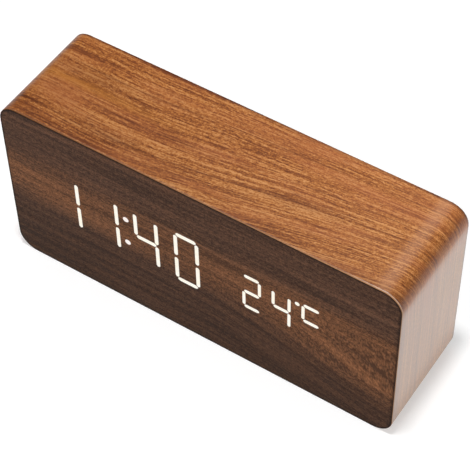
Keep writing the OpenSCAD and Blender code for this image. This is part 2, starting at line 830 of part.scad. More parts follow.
module smoothing_capacitor() {
  base_h = 0.8;
  base_margin = 0.15;
  base_w = capacitor_d + 2 * base_margin;
  neck_inset = 0.3;
  neck_d = capacitor_d - 2 * neck_inset;
  neck_h = 0.8;
  color("slategray") front_view() at(capacitor_place, z_pcb_back) mirror([0, 0, 1]) {
    box_at(0, 0, 0, [base_w, base_w, base_h]);
    cylinder(d = neck_d, h = base_h + neck_h + eps);
    translate([0, 0, base_h + neck_h]) cylinder(d = capacitor_d, h = capacitor_h - base_h - neck_h);
  }
}

module lead_header() {
  key_slot = [0.8, 1, 3];
  color("ivory") front_view() difference() {
    box_at(header_place[0], header_place[1], z_header, header_size);
    for (s = [-1, 1])
      box_at(header_place[0] + header_size[0] / 2, header_place[1] + s * header_pin_pitch / 2, z_header - eps,
        key_slot);
  }
}

module ribbon_headers() {
  size = [ribbon_header_w, ribbon_header_t, ribbon_header_h];
  color("whitesmoke") front_view() {
    box_at(ribbon_x, ribbon_y, z_key_pcb_front, size);
    box_at(ribbon_x, ribbon_y + ribbon_offset, z_pcb_back - ribbon_header_h, size);
  }
}

module ribbon() {
  lower = [for (i = [0 : ribbon_steps]) let (a = ribbon_angle * i / ribbon_steps)
    [ribbon_r * (1 - cos(a)), ribbon_r * sin(a), a]];
  upper = [for (i = [ribbon_steps - 1 : -1 : 0]) let (p = lower[i])
    [ribbon_offset - p[0], ribbon_span - p[1], p[2]]];
  middle = concat(lower, upper);
  last = len(middle) - 1;
  function edge(p, half) = [p[0] - half * cos(p[2]), p[1] + half * sin(p[2])];
  color("gray") front_view() translate([0, ribbon_y, z_key_pcb_front + ribbon_header_h])
    bar_along_x(ribbon_x, ribbon_w)
      polygon(concat(
        [for (i = [0 : last]) edge(middle[i], ribbon_t / 2)],
        [for (i = [last : -1 : 0]) edge(middle[i], -ribbon_t / 2)]));
}

module red_lead() {
  color("firebrick") front_view() tube(smooth_route(red_route), lead_d / 2, lead_sides, [0, 0, 1]);
}

module black_lead() {
  color("black") front_view() tube(smooth_route(black_route), lead_d / 2, lead_sides, [0, 1, 0]);
}

module buzzer_leads() {
  straight = [0, 0, 2 * buzzer_lead_d];
  color("black") front_view() for (s = [-1, 1]) {
    y = buzzer_place[1] + s * buzzer_lead_pitch / 2;
    start = [buzzer_place[0], y, z_cover_in + buzzer_h];
    end = [key_pcb_x - key_pcb_w / 2 + buzzer_lead_inset, y, z_key_pcb_front];
    top = [(start[0] + end[0]) / 2, y, end[2] + buzzer_lead_arch];
    tube(smooth_route([start, start + straight, top, end + straight, end]), buzzer_lead_d / 2, lead_sides,
      [0, 1, 0]);
  }
}

// Key board with its switches, socket and sensor
module key_board() {
  color("darkgreen") front_view() difference() {
    box_at(key_pcb_x, key_pcb_y, z_key_pcb, [key_pcb_w, key_pcb_h, pcb_t]);
    for (p = boss_places)
      at(p, z_key_pcb - eps) cylinder(d = board_screw_d + 4 * screw_play, h = pcb_t + 2 * eps);
  }
}

module key_board_screws() {
  color("silver") front_view() for (p = boss_places)
    at(p, 0) board_screw(z_key_pcb_front, -1, screw_depth);
}

module key_switches() {
  top = switch_w - 2 * switch_bevel;
  color("dimgray") front_view() for (x = button_places) difference() {
    union() {
      box_at(x, button_y, z_switch + switch_bevel, [switch_w, switch_w, switch_h - switch_bevel]);
      box_at(x, button_y, z_switch, [top, switch_w, switch_bevel + eps]);
      box_at(x, button_y, z_switch, [switch_w, top, switch_bevel + eps]);
    }
    translate([x, button_y, z_switch - eps])
      cylinder(d = plunger_d + 2 * plunger_play, h = plunger_in + button_travel + plunger_room + eps);
  }
}

// Cap with a dished top, a flange behind the cover and a stem to the plunger
module button(x) {
  z_top = z_cover_out - button_proud;
  z_flange = z_cover_in + button_flange_gap;
  bevel = 0.4;
  dish_r = 22;
  dish_depth = 0.25;
  translate([x, button_y, 0]) difference() {
    union() {
      translate([0, 0, z_top]) cylinder(d1 = button_d - 2 * bevel, d2 = button_d, h = bevel);
      translate([0, 0, z_top + bevel]) cylinder(d = button_d, h = z_flange - z_top - bevel + eps);
      translate([0, 0, z_flange]) cylinder(d = button_flange_d, h = button_flange_t);
      translate([0, 0, z_flange + button_flange_t - eps])
        cylinder(d = button_stem_d, h = z_stem - z_flange - button_flange_t + eps);
    }
    translate([0, 0, z_top - dish_r + dish_depth]) sphere(dish_r);
  }
}

module plunger(x) {
  translate([x, button_y, z_stem]) cylinder(d = plunger_d, h = plunger_out + plunger_in);
}

module set_button() {
  color("#2b2b2b") front_view() button(button_places[0]);
}

module up_button() {
  color("#2b2b2b") front_view() button(button_places[1]);
}

module down_button() {
  color("#2b2b2b") front_view() button(button_places[2]);
}

module set_plunger() {
  color("black") front_view() plunger(button_places[0]);
}

module up_plunger() {
  color("black") front_view() plunger(button_places[1]);
}

module down_plunger() {
  color("black") front_view() plunger(button_places[2]);
}

// Outline of the power socket with its two lower corners cut
module socket_outline(inset) {
  w = socket_w / 2 - inset;
  h = socket_h / 2 - inset;
  cut = socket_bevel - inset / 2;
  polygon([[-w, h], [-w, cut - h], [cut - w, -h], [w - cut, -h], [w, cut - h], [w, h]]);
}

module socket_shell() {
  color("silver") front_view() at(socket_place, z_socket)
    linear_extrude(z_key_pcb - z_socket) difference() {
      socket_outline(0);
      socket_outline(socket_t);
    }
}

module socket_tongue() {
  z_tip = z_socket + tongue_set_back;
  color("black") front_view() {
    at(socket_place, z_key_pcb - socket_base_h) linear_extrude(socket_base_h)
      socket_outline(socket_t);
    box_at(socket_place[0], socket_place[1] + tongue_t / 2, z_tip,
      [tongue_w, tongue_t, z_key_pcb - socket_base_h - z_tip + eps]);
  }
}

module temperature_sensor() {
  z_bead = z_key_pcb - sensor_lift;
  color("darkolivegreen") front_view() {
    for (s = [-1, 1]) translate([sensor_foot_x, sensor_y + s * sensor_pitch / 2, z_bead]) {
      cylinder(d = sensor_wire_d, h = sensor_lift);
      sphere(d = sensor_wire_d);
      rotate([0, -90, 0]) cylinder(d = sensor_wire_d, h = sensor_reach);
    }
    translate([sensor_foot_x - sensor_reach, sensor_y, z_bead]) sphere(d = sensor_bead_d);
  }
}

module buzzer() {
  color("#202020") front_view() at(buzzer_place, z_cover_in) difference() {
    cylinder(d = buzzer_d, h = buzzer_h);
    translate([0, 0, -eps]) cylinder(d = buzzer_hole_d, h = buzzer_hole_l + eps);
  }
}

// Rear cover
module rear_cover() {
  z_root = z_cover_in - cover_t / 2;
  color("#3a2a22") front_view() difference() {
    union() {
      mirror([0, 0, 1])
        edged_plate(plate_w, plate_h, plate_r, mid_y - plate_h / 2, -z_cover_in, cover_t, cover_edge_r);
      cover_ribs();
      at(socket_place, z_root) linear_extrude(z_well_back - z_root)
        round_rect(plug_well_w + 2 * plug_well_wall, plug_well_h + 2 * plug_well_wall, plug_well_r);
      translate([bay_x, bay_y, z_root]) linear_extrude(z_bay_back - z_root)
        round_rect(bay_w + 2 * bay_wall, bay_h + 2 * bay_wall, bay_corner_r);
      for (p = boss_places)
        at(p, z_root) cylinder(d = boss_d, h = z_key_pcb - z_root);
      at(buzzer_place, z_root) cylinder(r = buzzer_cup_r, h = z_cover_in + buzzer_cup_h - z_root);
      for (s = [-1, 1])
        box_at(bay_x + s * (door_w / 2 + door_gap + lug_w / 2), hinge_y, z_cover_out, [lug_w, lug_h, lug_d]);
    }
    bay_cavity();
    door_recess();
    cover_holes();
  }
}

module cover_ribs() {
  z = z_cover_in - eps;
  h = rib_h + eps;
  box_at(rib_x, mid_y, z, [rib_t, rib_upright_l, h]);
  spans = [
    [buzzer_place[0], socket_place[0] - plug_well_w / 2 - plug_well_wall / 2],
    [socket_place[0] + plug_well_w / 2 + plug_well_wall / 2, rib_x]
  ];
  for (span = spans)
    box_at((span[0] + span[1]) / 2, socket_place[1], z, [span[1] - span[0], rib_t, h]);
}

// Hollow for the cells, with low ribs left between them and slots for the solder tabs
module bay_cavity() {
  slot = [bay_wall + 2 * eps, tab_w + 2 * tab_slot_gap, contact_t + 2 * tab_slot_gap];
  difference() {
    box_at(bay_x, bay_y, z_cover_out - eps, [bay_w, bay_h, z_bay_floor - z_cover_out + eps]);
    for (i = [0 : cell_count - 2]) {
      y = (cell_y(i) + cell_y(i + 1)) / 2;
      bar_along_x(bay_x, cell_rib_l)
        polygon([
          [y - cell_rib_w / 2, z_bay_floor + eps], [y + cell_rib_w / 2, z_bay_floor + eps],
          [y + cell_rib_tip / 2, z_bay_floor - cell_rib_h], [y - cell_rib_tip / 2, z_bay_floor - cell_rib_h]
        ]);
    }
  }
  box_at(bay_left - bay_wall / 2, cell_y(0), z_tab - tab_slot_gap, slot);
  box_at(bay_right + bay_wall / 2, cell_y(cell_count - 1), z_tab - tab_slot_gap, slot);
}

// Recess of the battery door, its pin sockets and the thumb notch above it
module door_recess() {
  box_at(bay_x, bay_y, z_cover_out - eps,
    [door_w + 2 * door_gap, door_h + 2 * door_gap, door_t + ledge_gap + eps]);
  bore_l = door_w + 2 * (pin_l + pin_end_gap);
  rod_along_x(bay_x - bore_l / 2, hinge_y, hinge_z, pin_d + 2 * pin_play, bore_l);
  translate([bay_x, door_top, z_cover_out - eps]) cylinder(d = notch_d, h = notch_depth + eps);
}

module cover_holes() {
  through = cover_t + 2 * eps;
  for (x = button_places)
    translate([x, button_y, z_cover_out]) {
      translate([0, 0, -eps]) cylinder(d = button_d + 2 * button_gap, h = through);
      cylinder(
        d1 = button_d + 2 * (button_gap + button_hole_bevel),
        d2 = button_d + 2 * button_gap,
        h = button_hole_bevel);
    }
  at(socket_place, z_cover_out - eps) {
    linear_extrude(z_socket - z_cover_out + eps) round_rect(plug_well_w, plug_well_h, plug_well_r);
    linear_extrude(z_well_back - z_cover_out + 2 * eps) socket_outline(-socket_margin);
  }
  for (p = boss_places)
    at(p, z_key_pcb - boss_bore)
      cylinder(d = board_screw_d + 2 * screw_play, h = boss_bore + eps);
  at(buzzer_place, z_cover_in)
    cylinder(d = buzzer_d + 2 * fit_gap, h = buzzer_cup_h + eps);
  at(buzzer_place, z_cover_out - eps) {
    cylinder(d = sound_hole_d, h = through);
    for (i = [0 : sound_holes - 1])
      rotate([0, 0, 360 * i / sound_holes]) translate([sound_hole_ring, 0, 0])
        cylinder(d = sound_hole_d, h = through);
  }
  for (i = [-1 : 1])
    box_at(vent_place[0] + i * vent_pitch, vent_place[1], z_cover_out - eps, [vent_w, vent_l, through]);
  for (sx = [-1, 1], sy = [-1, 1])
    translate([sx * screw_place_x, mid_y + sy * screw_place_y, z_cover_out - eps]) {
      cylinder(d = cover_screw_d + 4 * screw_play, h = through);
      translate([0, 0, eps]) cylinder(
        d1 = cover_screw_head_d + 2 * screw_play,
        d2 = cover_screw_d + 2 * screw_play,
        h = cover_screw_head_h);
    }
}

module cover_screws() {
  point = 1.5;
  point_d = 0.4;
  color("silver") front_view() for (sx = [-1, 1], sy = [-1, 1])
    translate([sx * screw_place_x, mid_y + sy * screw_place_y, z_cover_out]) difference() {
      union() {
        cylinder(d1 = cover_screw_head_d, d2 = cover_screw_d, h = cover_screw_head_h);
        translate([0, 0, cover_screw_head_h - eps])
          cylinder(d = cover_screw_d, h = cover_screw_l - point - cover_screw_head_h + eps);
        translate([0, 0, cover_screw_l - point]) cylinder(d1 = cover_screw_d, d2 = point_d, h = point);
      }
      cross_recess(cover_screw_head_d);
    }
}

// Door with a round lower edge about its pins, a snap bead on top and ridges to grip
module battery_door() {
  z_edge = z_cover_out + cover_edge_r;
  color("#3a2a22") front_view() {
    difference() {
      bar_along_x(bay_x, door_w) {
        translate([hinge_y, z_edge]) square([door_top - hinge_y, door_t - cover_edge_r]);
        translate([hinge_y, z_cover_out]) square([door_top - cover_edge_r - hinge_y, door_t]);
        translate([door_top - cover_edge_r, z_edge]) mirror([0, 1]) quarter_disc(cover_edge_r);
        translate([hinge_y, hinge_z]) circle(d = door_t);
      }
      for (s = [-1, 1])
        translate([bay_x + s * door_w / 2, bay_y, z_cover_out]) rotate([0, 45, 0])
          cube([sqrt(2) * cover_edge_r, door_h + 2 * eps, sqrt(2) * cover_edge_r], center = true);
    }
    rod_along_x(bay_x - door_w / 2 - pin_l, hinge_y, hinge_z, pin_d, door_w + 2 * pin_l);
    rod_along_x(bay_x - bead_l / 2, door_top, hinge_z, bead_d, bead_l);
    for (i = [0 : grip_ridges - 1])
      rod_along_x(bay_x - grip_l / 2, door_top - grip_inset - i * grip_pitch, z_cover_out, grip_d, grip_l);
  }
}

// Cells, contacts and springs; even cells have their stud on the right, odd ones on the left
function cell_way(i) = i % 2 == 0 ? 1 : -1;

module battery_cells() {
  r = cell_d / 2;
  barrel = cell_l - cell_stud_l;
  color("seagreen") front_view() for (i = [0 : cell_count - 1])
    translate([bay_x + cell_way(i) * (bay_w / 2 - contact_t - cell_end_gap), cell_y(i), z_cell])
      rotate([0, -90 * cell_way(i), 0]) rotate_extrude()
        polygon([
          [0, 0], [cell_stud_d / 2, 0], [cell_stud_d / 2, cell_stud_l], [r - cell_shoulder, cell_stud_l],
          [r, cell_stud_l + cell_shoulder], [r, cell_l - cell_shoulder],
          [r - cell_shoulder, cell_l], [0, cell_l]
        ]);
}

module cell_springs() {
  color("silver") front_view() for (i = [0 : cell_count - 1])
    translate([bay_x - cell_way(i) * (bay_w / 2 - contact_t), cell_y(i), z_cell])
      rotate([0, cell_way(i) > 0 ? 0 : 180, 0]) tube(spring_path, spring_wire / 2, wire_sides, [1, 0, 0]);
}

// Plate on an end wall, from the cell at its lower end to the cell at its upper end
module contact_plate(side, low, high) {
  h = cell_y(high) - cell_y(low) + contact_h;
  box_at(bay_x + side * (bay_w / 2 - contact_t / 2), (cell_y(low) + cell_y(high)) / 2, z_cell - contact_w / 2,
    [contact_t, h, contact_w]);
}

module solder_tab(side, i) {
  l = bay_wall + tab_l + contact_t;
  box_at(bay_x + side * (bay_w / 2 - contact_t + l / 2), cell_y(i), z_tab, [l, tab_w, contact_t]);
}

module cell_contacts() {
  color("gainsboro") front_view() {
    union() {
      contact_plate(-1, 0, 0);
      solder_tab(-1, 0);
    }
    contact_plate(-1, 1, cell_count - 1);
    contact_plate(1, 0, cell_count - 2);
    union() {
      contact_plate(1, cell_count - 1, cell_count - 1);
      solder_tab(1, cell_count - 1);
    }
  }
}

case_sleeve();
case_film();
base_film();
corner_blocks();
front_panel();
front_film();
diffuser_sheet();
light_box();
lit_time_digits();
lit_colon();
lit_temperature();
led_chips();
display_board();
display_screws();
clock_chip();
quartz_crystal();
drive_transistors();
smoothing_capacitor();
lead_header();
ribbon_headers();
ribbon();
red_lead();
black_lead();
buzzer_leads();
key_board();
key_board_screws();
key_switches();
set_button();
up_button();
down_button();
set_plunger();
up_plunger();
down_plunger();
socket_shell();
socket_tongue();
temperature_sensor();
buzzer();
rear_cover();
cover_screws();
battery_door();
battery_cells();
cell_springs();
cell_contacts();
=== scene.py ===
import math

import bpy
from mathutils import Matrix, Vector


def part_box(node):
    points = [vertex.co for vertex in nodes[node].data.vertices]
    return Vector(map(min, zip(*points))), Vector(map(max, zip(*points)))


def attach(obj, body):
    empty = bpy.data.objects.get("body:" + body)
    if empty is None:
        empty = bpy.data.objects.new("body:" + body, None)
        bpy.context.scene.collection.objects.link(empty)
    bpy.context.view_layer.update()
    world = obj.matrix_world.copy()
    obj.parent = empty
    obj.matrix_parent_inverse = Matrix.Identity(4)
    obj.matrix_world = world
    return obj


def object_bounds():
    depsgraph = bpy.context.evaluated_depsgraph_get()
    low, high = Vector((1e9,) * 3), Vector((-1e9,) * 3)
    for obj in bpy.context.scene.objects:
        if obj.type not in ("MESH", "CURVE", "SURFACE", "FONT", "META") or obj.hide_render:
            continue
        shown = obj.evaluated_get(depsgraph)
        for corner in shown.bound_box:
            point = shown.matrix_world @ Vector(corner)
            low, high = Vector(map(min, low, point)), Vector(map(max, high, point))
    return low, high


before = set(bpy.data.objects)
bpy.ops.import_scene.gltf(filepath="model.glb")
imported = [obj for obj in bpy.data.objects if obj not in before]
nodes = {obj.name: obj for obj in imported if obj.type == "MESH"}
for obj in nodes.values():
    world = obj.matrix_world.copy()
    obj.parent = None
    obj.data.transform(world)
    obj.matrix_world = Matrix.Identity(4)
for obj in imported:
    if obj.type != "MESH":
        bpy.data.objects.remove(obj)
cadLow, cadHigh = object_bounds()
mm = 0.001  # the frame is in metres, and sizes below are in millimetres
caseDepth, caseHeight = ((cadHigh[i] - cadLow[i]) / mm for i in (1, 2))
print("frame loaded:", len(nodes), "nodes")


def boxOf(name):
    low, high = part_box(name)
    return Vector(low) / mm, Vector(high) / mm


def middleOf(name):
    low, high = boxOf(name)
    return (low + high) / 2


# shader helpers: a socket is linked, and anything else is set on the input

noiseLow, noiseMiddle, noiseHigh = 0.3, 0.5, 0.7  # nearly all of a noise lies between the first and the last
cloudLow, cloudHigh = 0.35, 0.65


def addNode(tree, kind, inputs=None, **settings):
    node = tree.nodes.new(kind)
    for key, value in settings.items():
        setattr(node, key, value)
    for key, value in (inputs or {}).items():
        if isinstance(value, bpy.types.NodeSocket):
            tree.links.new(value, node.inputs[key])
        else:
            node.inputs[key].default_value = value
    return node


def calc(tree, operation, a, b=0.0, c=0.0):
    return addNode(tree, "ShaderNodeMath", {0: a, 1: b, 2: c}, operation=operation).outputs[0]


def mapRange(tree, value, low, high, newLow=0.0, newHigh=1.0, smooth=False):
    node = addNode(
        tree, "ShaderNodeMapRange",
        {"Value": value, "From Min": low, "From Max": high, "To Min": newLow, "To Max": newHigh})
    if smooth:
        node.interpolation_type = "SMOOTHSTEP"
    return node.outputs["Result"]


def noise(tree, vector, scale=1.0, detail=2.0, roughness=0.5):
    inputs = {"Vector": vector, "Scale": scale, "Detail": detail, "Roughness": roughness}
    return addNode(tree, "ShaderNodeTexNoise", inputs).outputs["Fac"]


def ramp(tree, factor, stops):
    node = addNode(tree, "ShaderNodeValToRGB", {"Fac": factor})
    line = node.color_ramp.elements
    while len(line) < len(stops):
        line.new(1.0)
    for element, (place, colour) in zip(line, stops):
        element.position = place
        element.color = (*colour, 1.0)
    return node.outputs["Color"]


def blend(tree, factor, a, b, mode="MIX"):
    node = addNode(tree, "ShaderNodeMix", data_type="RGBA", blend_type=mode)
    for socket, value in ((node.inputs[0], factor), (node.inputs[6], a), (node.inputs[7], b)):
        if isinstance(value, bpy.types.NodeSocket):
            tree.links.new(value, socket)
        else:
            socket.default_value = value if isinstance(value, float) else (*value, 1.0)
    return node.outputs[2]


def lighten(tree, colour, gain):
    grey = addNode(tree, "ShaderNodeCombineColor", {0: gain, 1: gain, 2: gain}).outputs[0]
    return blend(tree, 1.0, colour, grey, "MULTIPLY")


def shareOf(tree, value, step, smooth=False):
    return mapRange(tree, value, step["from"], step["to"], 0.0, step["most"], smooth)


def mottled(tree, colour, pattern, swing):
    return lighten(tree, colour, mapRange(tree, pattern, noiseLow, noiseHigh, 1 - swing, 1 + swing))


def clouded(tree, pattern, a, b):
    return blend(tree, mapRange(tree, pattern, cloudLow, cloudHigh), a, b)


def swung(tree, base, pattern, gain):
    return calc(tree, "MULTIPLY_ADD", calc(tree, "SUBTRACT", pattern, noiseMiddle), gain, base)


def spotInMillimetres(tree):
    spot = addNode(tree, "ShaderNodeTexCoord").outputs["Object"]
    return addNode(tree, "ShaderNodeVectorMath", {0: spot, "Scale": 1 / mm}, operation="SCALE").outputs[0]


def axesOf(tree, spot):
    return addNode(tree, "ShaderNodeSeparateXYZ", {0: spot}).outputs


def grainMark(tree, along, across, mark, seed=0.0):
    length, width, place, detail = mark  # in millimetres, then its place in the noise and its detail
    parts = {"X": calc(tree, "DIVIDE", along, length), "Y": calc(tree, "DIVIDE", across, width), "Z": seed + place}
    return noise(tree, addNode(tree, "ShaderNodeCombineXYZ", parts).outputs[0], detail=detail)


def startMaterial(name, **sockets):
    material = bpy.data.materials.new(name)
    material.use_nodes = True
    tree = material.node_tree
    shader = tree.nodes["Principled BSDF"]
    for key, value in sockets.items():
        shader.inputs[key.replace("_", " ")].default_value = value
    return material, tree, shader


def setColour(tree, shader, colour):
    tree.links.new(colour, shader.inputs["Base Color"])


def setRoughness(tree, shader, pattern, middle, swing):
    rough = mapRange(tree, pattern, noiseLow, noiseHigh, middle - swing, middle + swing)
    tree.links.new(rough, shader.inputs["Roughness"])


def setBump(tree, shader, height, strength, depth):
    bump = addNode(tree, "ShaderNodeBump", {"Height": height, "Strength": strength, "Distance": depth * mm})
    tree.links.new(bump.outputs["Normal"], shader.inputs["Normal"])


def dress(material, *names):
    for name in names:
        for slot in nodes[name].material_slots:
            slot.material = material


# camera

cameraSet = {
    "lookAt": (2.165, 0.046, 33.012),
    "azimuth": 34.27,
    "elevation": 50.52,
    "roll": -1.455,
    "distance": 566.2,
    "lens": 131.67,
    "sensor": 36.0,
    "near": 0.01, "far": 20.0,  # in metres
}


def setCamera(look):
    turn, lift = math.radians(look["azimuth"]), math.radians(look["elevation"])
    back = Vector((math.sin(turn) * math.cos(lift), -math.cos(turn) * math.cos(lift), math.sin(lift)))
    data = bpy.data.cameras.new("camera")
    data.lens = look["lens"]
    data.sensor_width = look["sensor"]
    data.clip_start, data.clip_end = look["near"], look["far"]
    camera = bpy.data.objects.new("camera", data)
    bpy.context.scene.collection.objects.link(camera)
    aim = (-back).to_track_quat("-Z", "Y").to_matrix().to_4x4()
    place = Matrix.Translation((Vector(look["lookAt"]) + back * look["distance"]) * mm)
    camera.matrix_world = place @ aim @ Matrix.Rotation(math.radians(look["roll"]), 4, "Z")
    bpy.context.scene.camera = camera


setCamera(cameraSet)
print("camera set")


# floor, world and lamps

floorSet = {
    "size": 6.0, "colour": (0.93, 0.93, 0.93), "whiteShare": 0.3, "whiteStrength": 1.45,
    "farFrom": 0.3, "farTo": 1.2,  # in metres from the clock, where the floor turns to plain white
}
worldSet = {"fill": 0.38, "background": 1.0, "overhead": 0.06, "horizon": 0.0, "dimAbove": 0.06}
lamps = {
    "keyLamp": {"place": (0.02, -0.10, 1.26), "aim": (0.0, 0.0, 0.03), "size": 0.13, "power": 8.9},
    "rimLamp": {"place": (-0.03, 0.68, 1.15), "aim": (0.07, 0.0, 0.07), "size": 0.7, "power": 0.35},
    "edgeLamp": {"place": (0.0, -0.95, 0.68), "aim": (0.0, 0.0, 0.05), "size": 0.2, "power": 1.65},
}


def rayKinds(tree):
    path = addNode(tree, "ShaderNodeLightPath").outputs
    mirrored = calc(tree, "MAXIMUM", path["Is Glossy Ray"], path["Is Transmission Ray"])
    return path["Is Camera Ray"], mirrored


def makeFloor(look):
    bpy.ops.object.select_all(action="DESELECT")
    bpy.ops.mesh.primitive_plane_add(size=look["size"])
    floor = bpy.context.object
    floor.name = "floor"
    material = bpy.data.materials.new("floorWhite")
    material.use_nodes = True
    tree = material.node_tree
    tree.nodes.clear()
    matt = addNode(tree, "ShaderNodeBsdfDiffuse", {"Color": (*look["colour"], 1.0)})
    spot = addNode(tree, "ShaderNodeTexCoord").outputs["Object"]
    away = addNode(tree, "ShaderNodeVectorMath", {0: spot}, operation="LENGTH").outputs["Value"]
    fromCamera, mirrored = rayKinds(tree)
    far = mapRange(tree, away, look["farFrom"], look["farTo"], 0.0, fromCamera, smooth=True)
    strength = mapRange(tree, far, 0.0, 1.0, look["whiteStrength"], 1.0)
    white = addNode(tree, "ShaderNodeEmission", {"Strength": strength})
    share = calc(tree, "MULTIPLY", calc(tree, "MAXIMUM", fromCamera, mirrored), look["whiteShare"])
    share = calc(tree, "MAXIMUM", share, far)
    mixed = addNode(tree, "ShaderNodeMixShader", {0: share, 1: matt.outputs[0], 2: white.outputs[0]})
    addNode(tree, "ShaderNodeOutputMaterial", {"Surface": mixed.outputs[0]})
    floor.data.materials.append(material)


def makeWorld(look):
    world = bpy.data.worlds.new("studio")
    world.use_nodes = True
    tree = world.node_tree
    direction = addNode(tree, "ShaderNodeTexCoord").outputs["Generated"]
    height = addNode(tree, "ShaderNodeSeparateXYZ", {0: direction}).outputs["Z"]
    dimmed = mapRange(
        tree, height, look["horizon"], look["dimAbove"], look["background"], look["overhead"], smooth=True)
    fromCamera, mirrored = rayKinds(tree)
    level = mapRange(tree, mirrored, 0.0, 1.0, look["fill"], dimmed)
    level = mapRange(tree, fromCamera, 0.0, 1.0, level, look["background"])
    tree.links.new(level, tree.nodes["Background"].inputs["Strength"])
    tree.nodes["Background"].inputs["Color"].default_value = (1.0, 1.0, 1.0, 1.0)
    bpy.context.scene.world = world


def makeLamp(name, look):
    data = bpy.data.lights.new(name, "AREA")
    data.shape = "DISK"
    data.size = look["size"]
    data.energy = look["power"]
    lamp = bpy.data.objects.new(name, data)
    lamp.location = look["place"]
    lamp.rotation_euler = (Vector(look["aim"]) - Vector(look["place"])).to_track_quat("-Z", "Y").to_euler()
    bpy.context.scene.collection.objects.link(lamp)


makeFloor(floorSet)
makeWorld(worldSet)
for lampName, lampLook in lamps.items():
    makeLamp(lampName, lampLook)
bpy.context.scene.view_settings.view_transform = "Standard"
print("floor, world and", len(lamps), "lamps set")


# wood films: the grain runs round the case, and along the front

caseFilmSet = {
    "tones": [  # from dark to light grain
        (0.0, (0.205, 0.049, 0.006)),
        (0.3, (0.340, 0.098, 0.013)),
        (0.5, (0.440, 0.140, 0.020)),
        (0.7, (0.535, 0.190, 0.034)),
        (1.0, (0.680, 0.290, 0.078)),
    ],
    "gains": {"broad": 1.1, "vein": 0.5, "streak": 1.9, "fibre": 1.7, "mottle": 1.5, "speckle": 1.5},
    "toneMiddle": 0.5,
    "red": (0.435, 0.122, 0.030),
    "redMark": (40.0, 9.0, 61.0, 1.0),
    "redShare": {"from": 0.45, "to": 0.75, "most": 0.5},
    "gold": (0.530, 0.188, 0.018),
    "tint": {"from": -75.0, "to": 45.0, "left": (0.79, 0.77, 0.80), "right": (1.02, 1.06, 1.28)},  # along the top
    "endSheenTint": {"from": 82.0, "to": 95.0, "tint": (1.00, 1.24, 1.60)},  # the right end is painted yellower and paler, a painted reflection of its grazing sheen
    "slope": {"rear": 1.07, "front": 0.92},  # lighter to the rear
    "goldBand": {"middle": 0.8, "reach": 3.4, "from": -5.0, "to": -60.0, "most": 0.55},
    "dark": (0.50, 0.40, 0.32),
    "dashShare": {"from": 0.58, "to": 0.70, "most": 0.7},
    "darkStreaks": [  # where each lies across the top, and its half width
        (8.6, 0.9), (13.2, 0.6), (-4.6, 0.7), (-13.5, 0.8), (-18.5, 1.0),
    ],
    "breakMark": (22.0, 6.0, 83.0, 1.0),  # the streaks come and go along the grain
    "breakShare": {"from": 0.42, "to": 0.6, "most": 0.75},
    "brownBands": [  # where each lies across and along the grain, and its reach both ways
        (5.5, 5.0, -55.0, 32.0), (-13.5, 5.0, -38.0, 26.0), (-13.3, 5.0, 32.0, 26.0),
    ],
    "brownShare": 0.42,
    # painted highlight along the front edge of the case film
    "edgeHighlight": (0.90, 0.76, 0.64),
    "edgeHighlightWidth": {"from": 0.75, "to": 0.45},  # from the front
    "edgeHighlightShare": {"from": 52.0, "to": 68.0, "least": 0.12, "most": 0.85},  # the painted highlight is strongest to the right
    "rearEdge": {"from": 1.6, "to": 0.5},  # from the rear
    "corner": {"shade": (0.60, 0.55, 0.50), "middle": 3.4, "reach": 3.3},  # painted shade down the upper arcs of the rounded ends
    "frontStrip": {  # darker behind the cut edge
        "middle": -19.4, "reach": 3.0, "from": -25.0, "to": 60.0, "most": 0.4},
    # painted highlight across the start of the right corner's arc
    "crown": {"middle": 67.2, "reach": 3.8, "arcHighlight": (0.640, 0.340, 0.200), "share": 0.28},
    "ends": {"from": 1.5, "to": 6.0, "calm": 0.45},  # the grain is fainter on the ends
    "fan": {"climb": 30.0, "from": -40.0, "to": 110.0, "rearShare": 0.1},  # the grain rises to the rear
    "roughness": 0.45,
    "coatRoughness": 0.3,
    "coatIor": 1.7,
    "lacquer": {  # thin on the corners and at the foot
        "from": -75.0, "to": 10.0, "thin": 0.2, "arc": 0.2, "arcFrom": 3.0, "arcTo": 12.0,
        "foot": 0.7, "footTo": 18.0},
}
frontFilmSet = {
    "upper": (0.0870, 0.0398, 0.0218),
    "lower": (0.0600, 0.0260, 0.0130),
    "turn": {"from": 2.0, "to": 48.0},  # heights between which the lower colour turns to the upper one; near the floor the darker lower colour is painted shade
    "red": (0.1720, 0.0700, 0.0295),
    "leftBand": {"middle": 41.5, "core": 1.0, "reach": 14.0, "from": 0.0, "to": -50.0, "share": 1.0},
    "rightBand": {"middle": 40.5, "core": 4.0, "reach": 15.0, "from": 0.0, "to": 50.0, "share": 0.9},
    "midShare": 0.8,  # how much of the red is left in the middle
    "sink": {"drop": 17.0, "from": 0.0, "to": 85.0, "top": 44.0, "bottom": 22.0},
    "wave": 12.0,  # how far the bands sway
    "gains": {"broad": 0.5, "vein": 1.9, "streak": 1.6, "fibre": 0.9, "mottle": 2.2, "speckle": 2.8},
    "cornerRadius": 7.0,
    "rim": {"from": 1.4, "to": 0.1},  # inside the outline
    "rimShade": (0.24, 0.22, 0.20),
    # painted highlight on the film's side faces, faint to the left and strong to the right
    "side": {
        "left": (0.220, 0.085, 0.030), "right": (0.450, 0.230, 0.110), "reach": 60.0, "from": 0.06, "to": 0.16},
    "pore": (0.50, 0.42, 0.38),
    "poreShare": {"from": 0.58, "to": 0.70, "most": 0.4},
    "darkest": 0.5,
    "roughness": 0.5,
}


grainSet = {  # each mark's length and width in millimetres, its place in the noise and its detail
    "broad": (130.0, 7.5, 0.0, 2.0),
    "vein": (70.0, 3.0, 91.0, 2.0),
    "streak": (50.0, 1.4, 11.0, 2.0),
    "fibre": (15.0, 0.5, 23.0, 2.0),
    "dash": (6.0, 0.5, 37.0, 1.0),
    "mottle": (1.7, 0.8, 51.0, 1.0),
    "speckle": (0.6, 0.45, 67.0, 1.0),
}
swaySet = {"mark": (55.0, 22.0, 3.1, 1.0), "reach": 3.0}


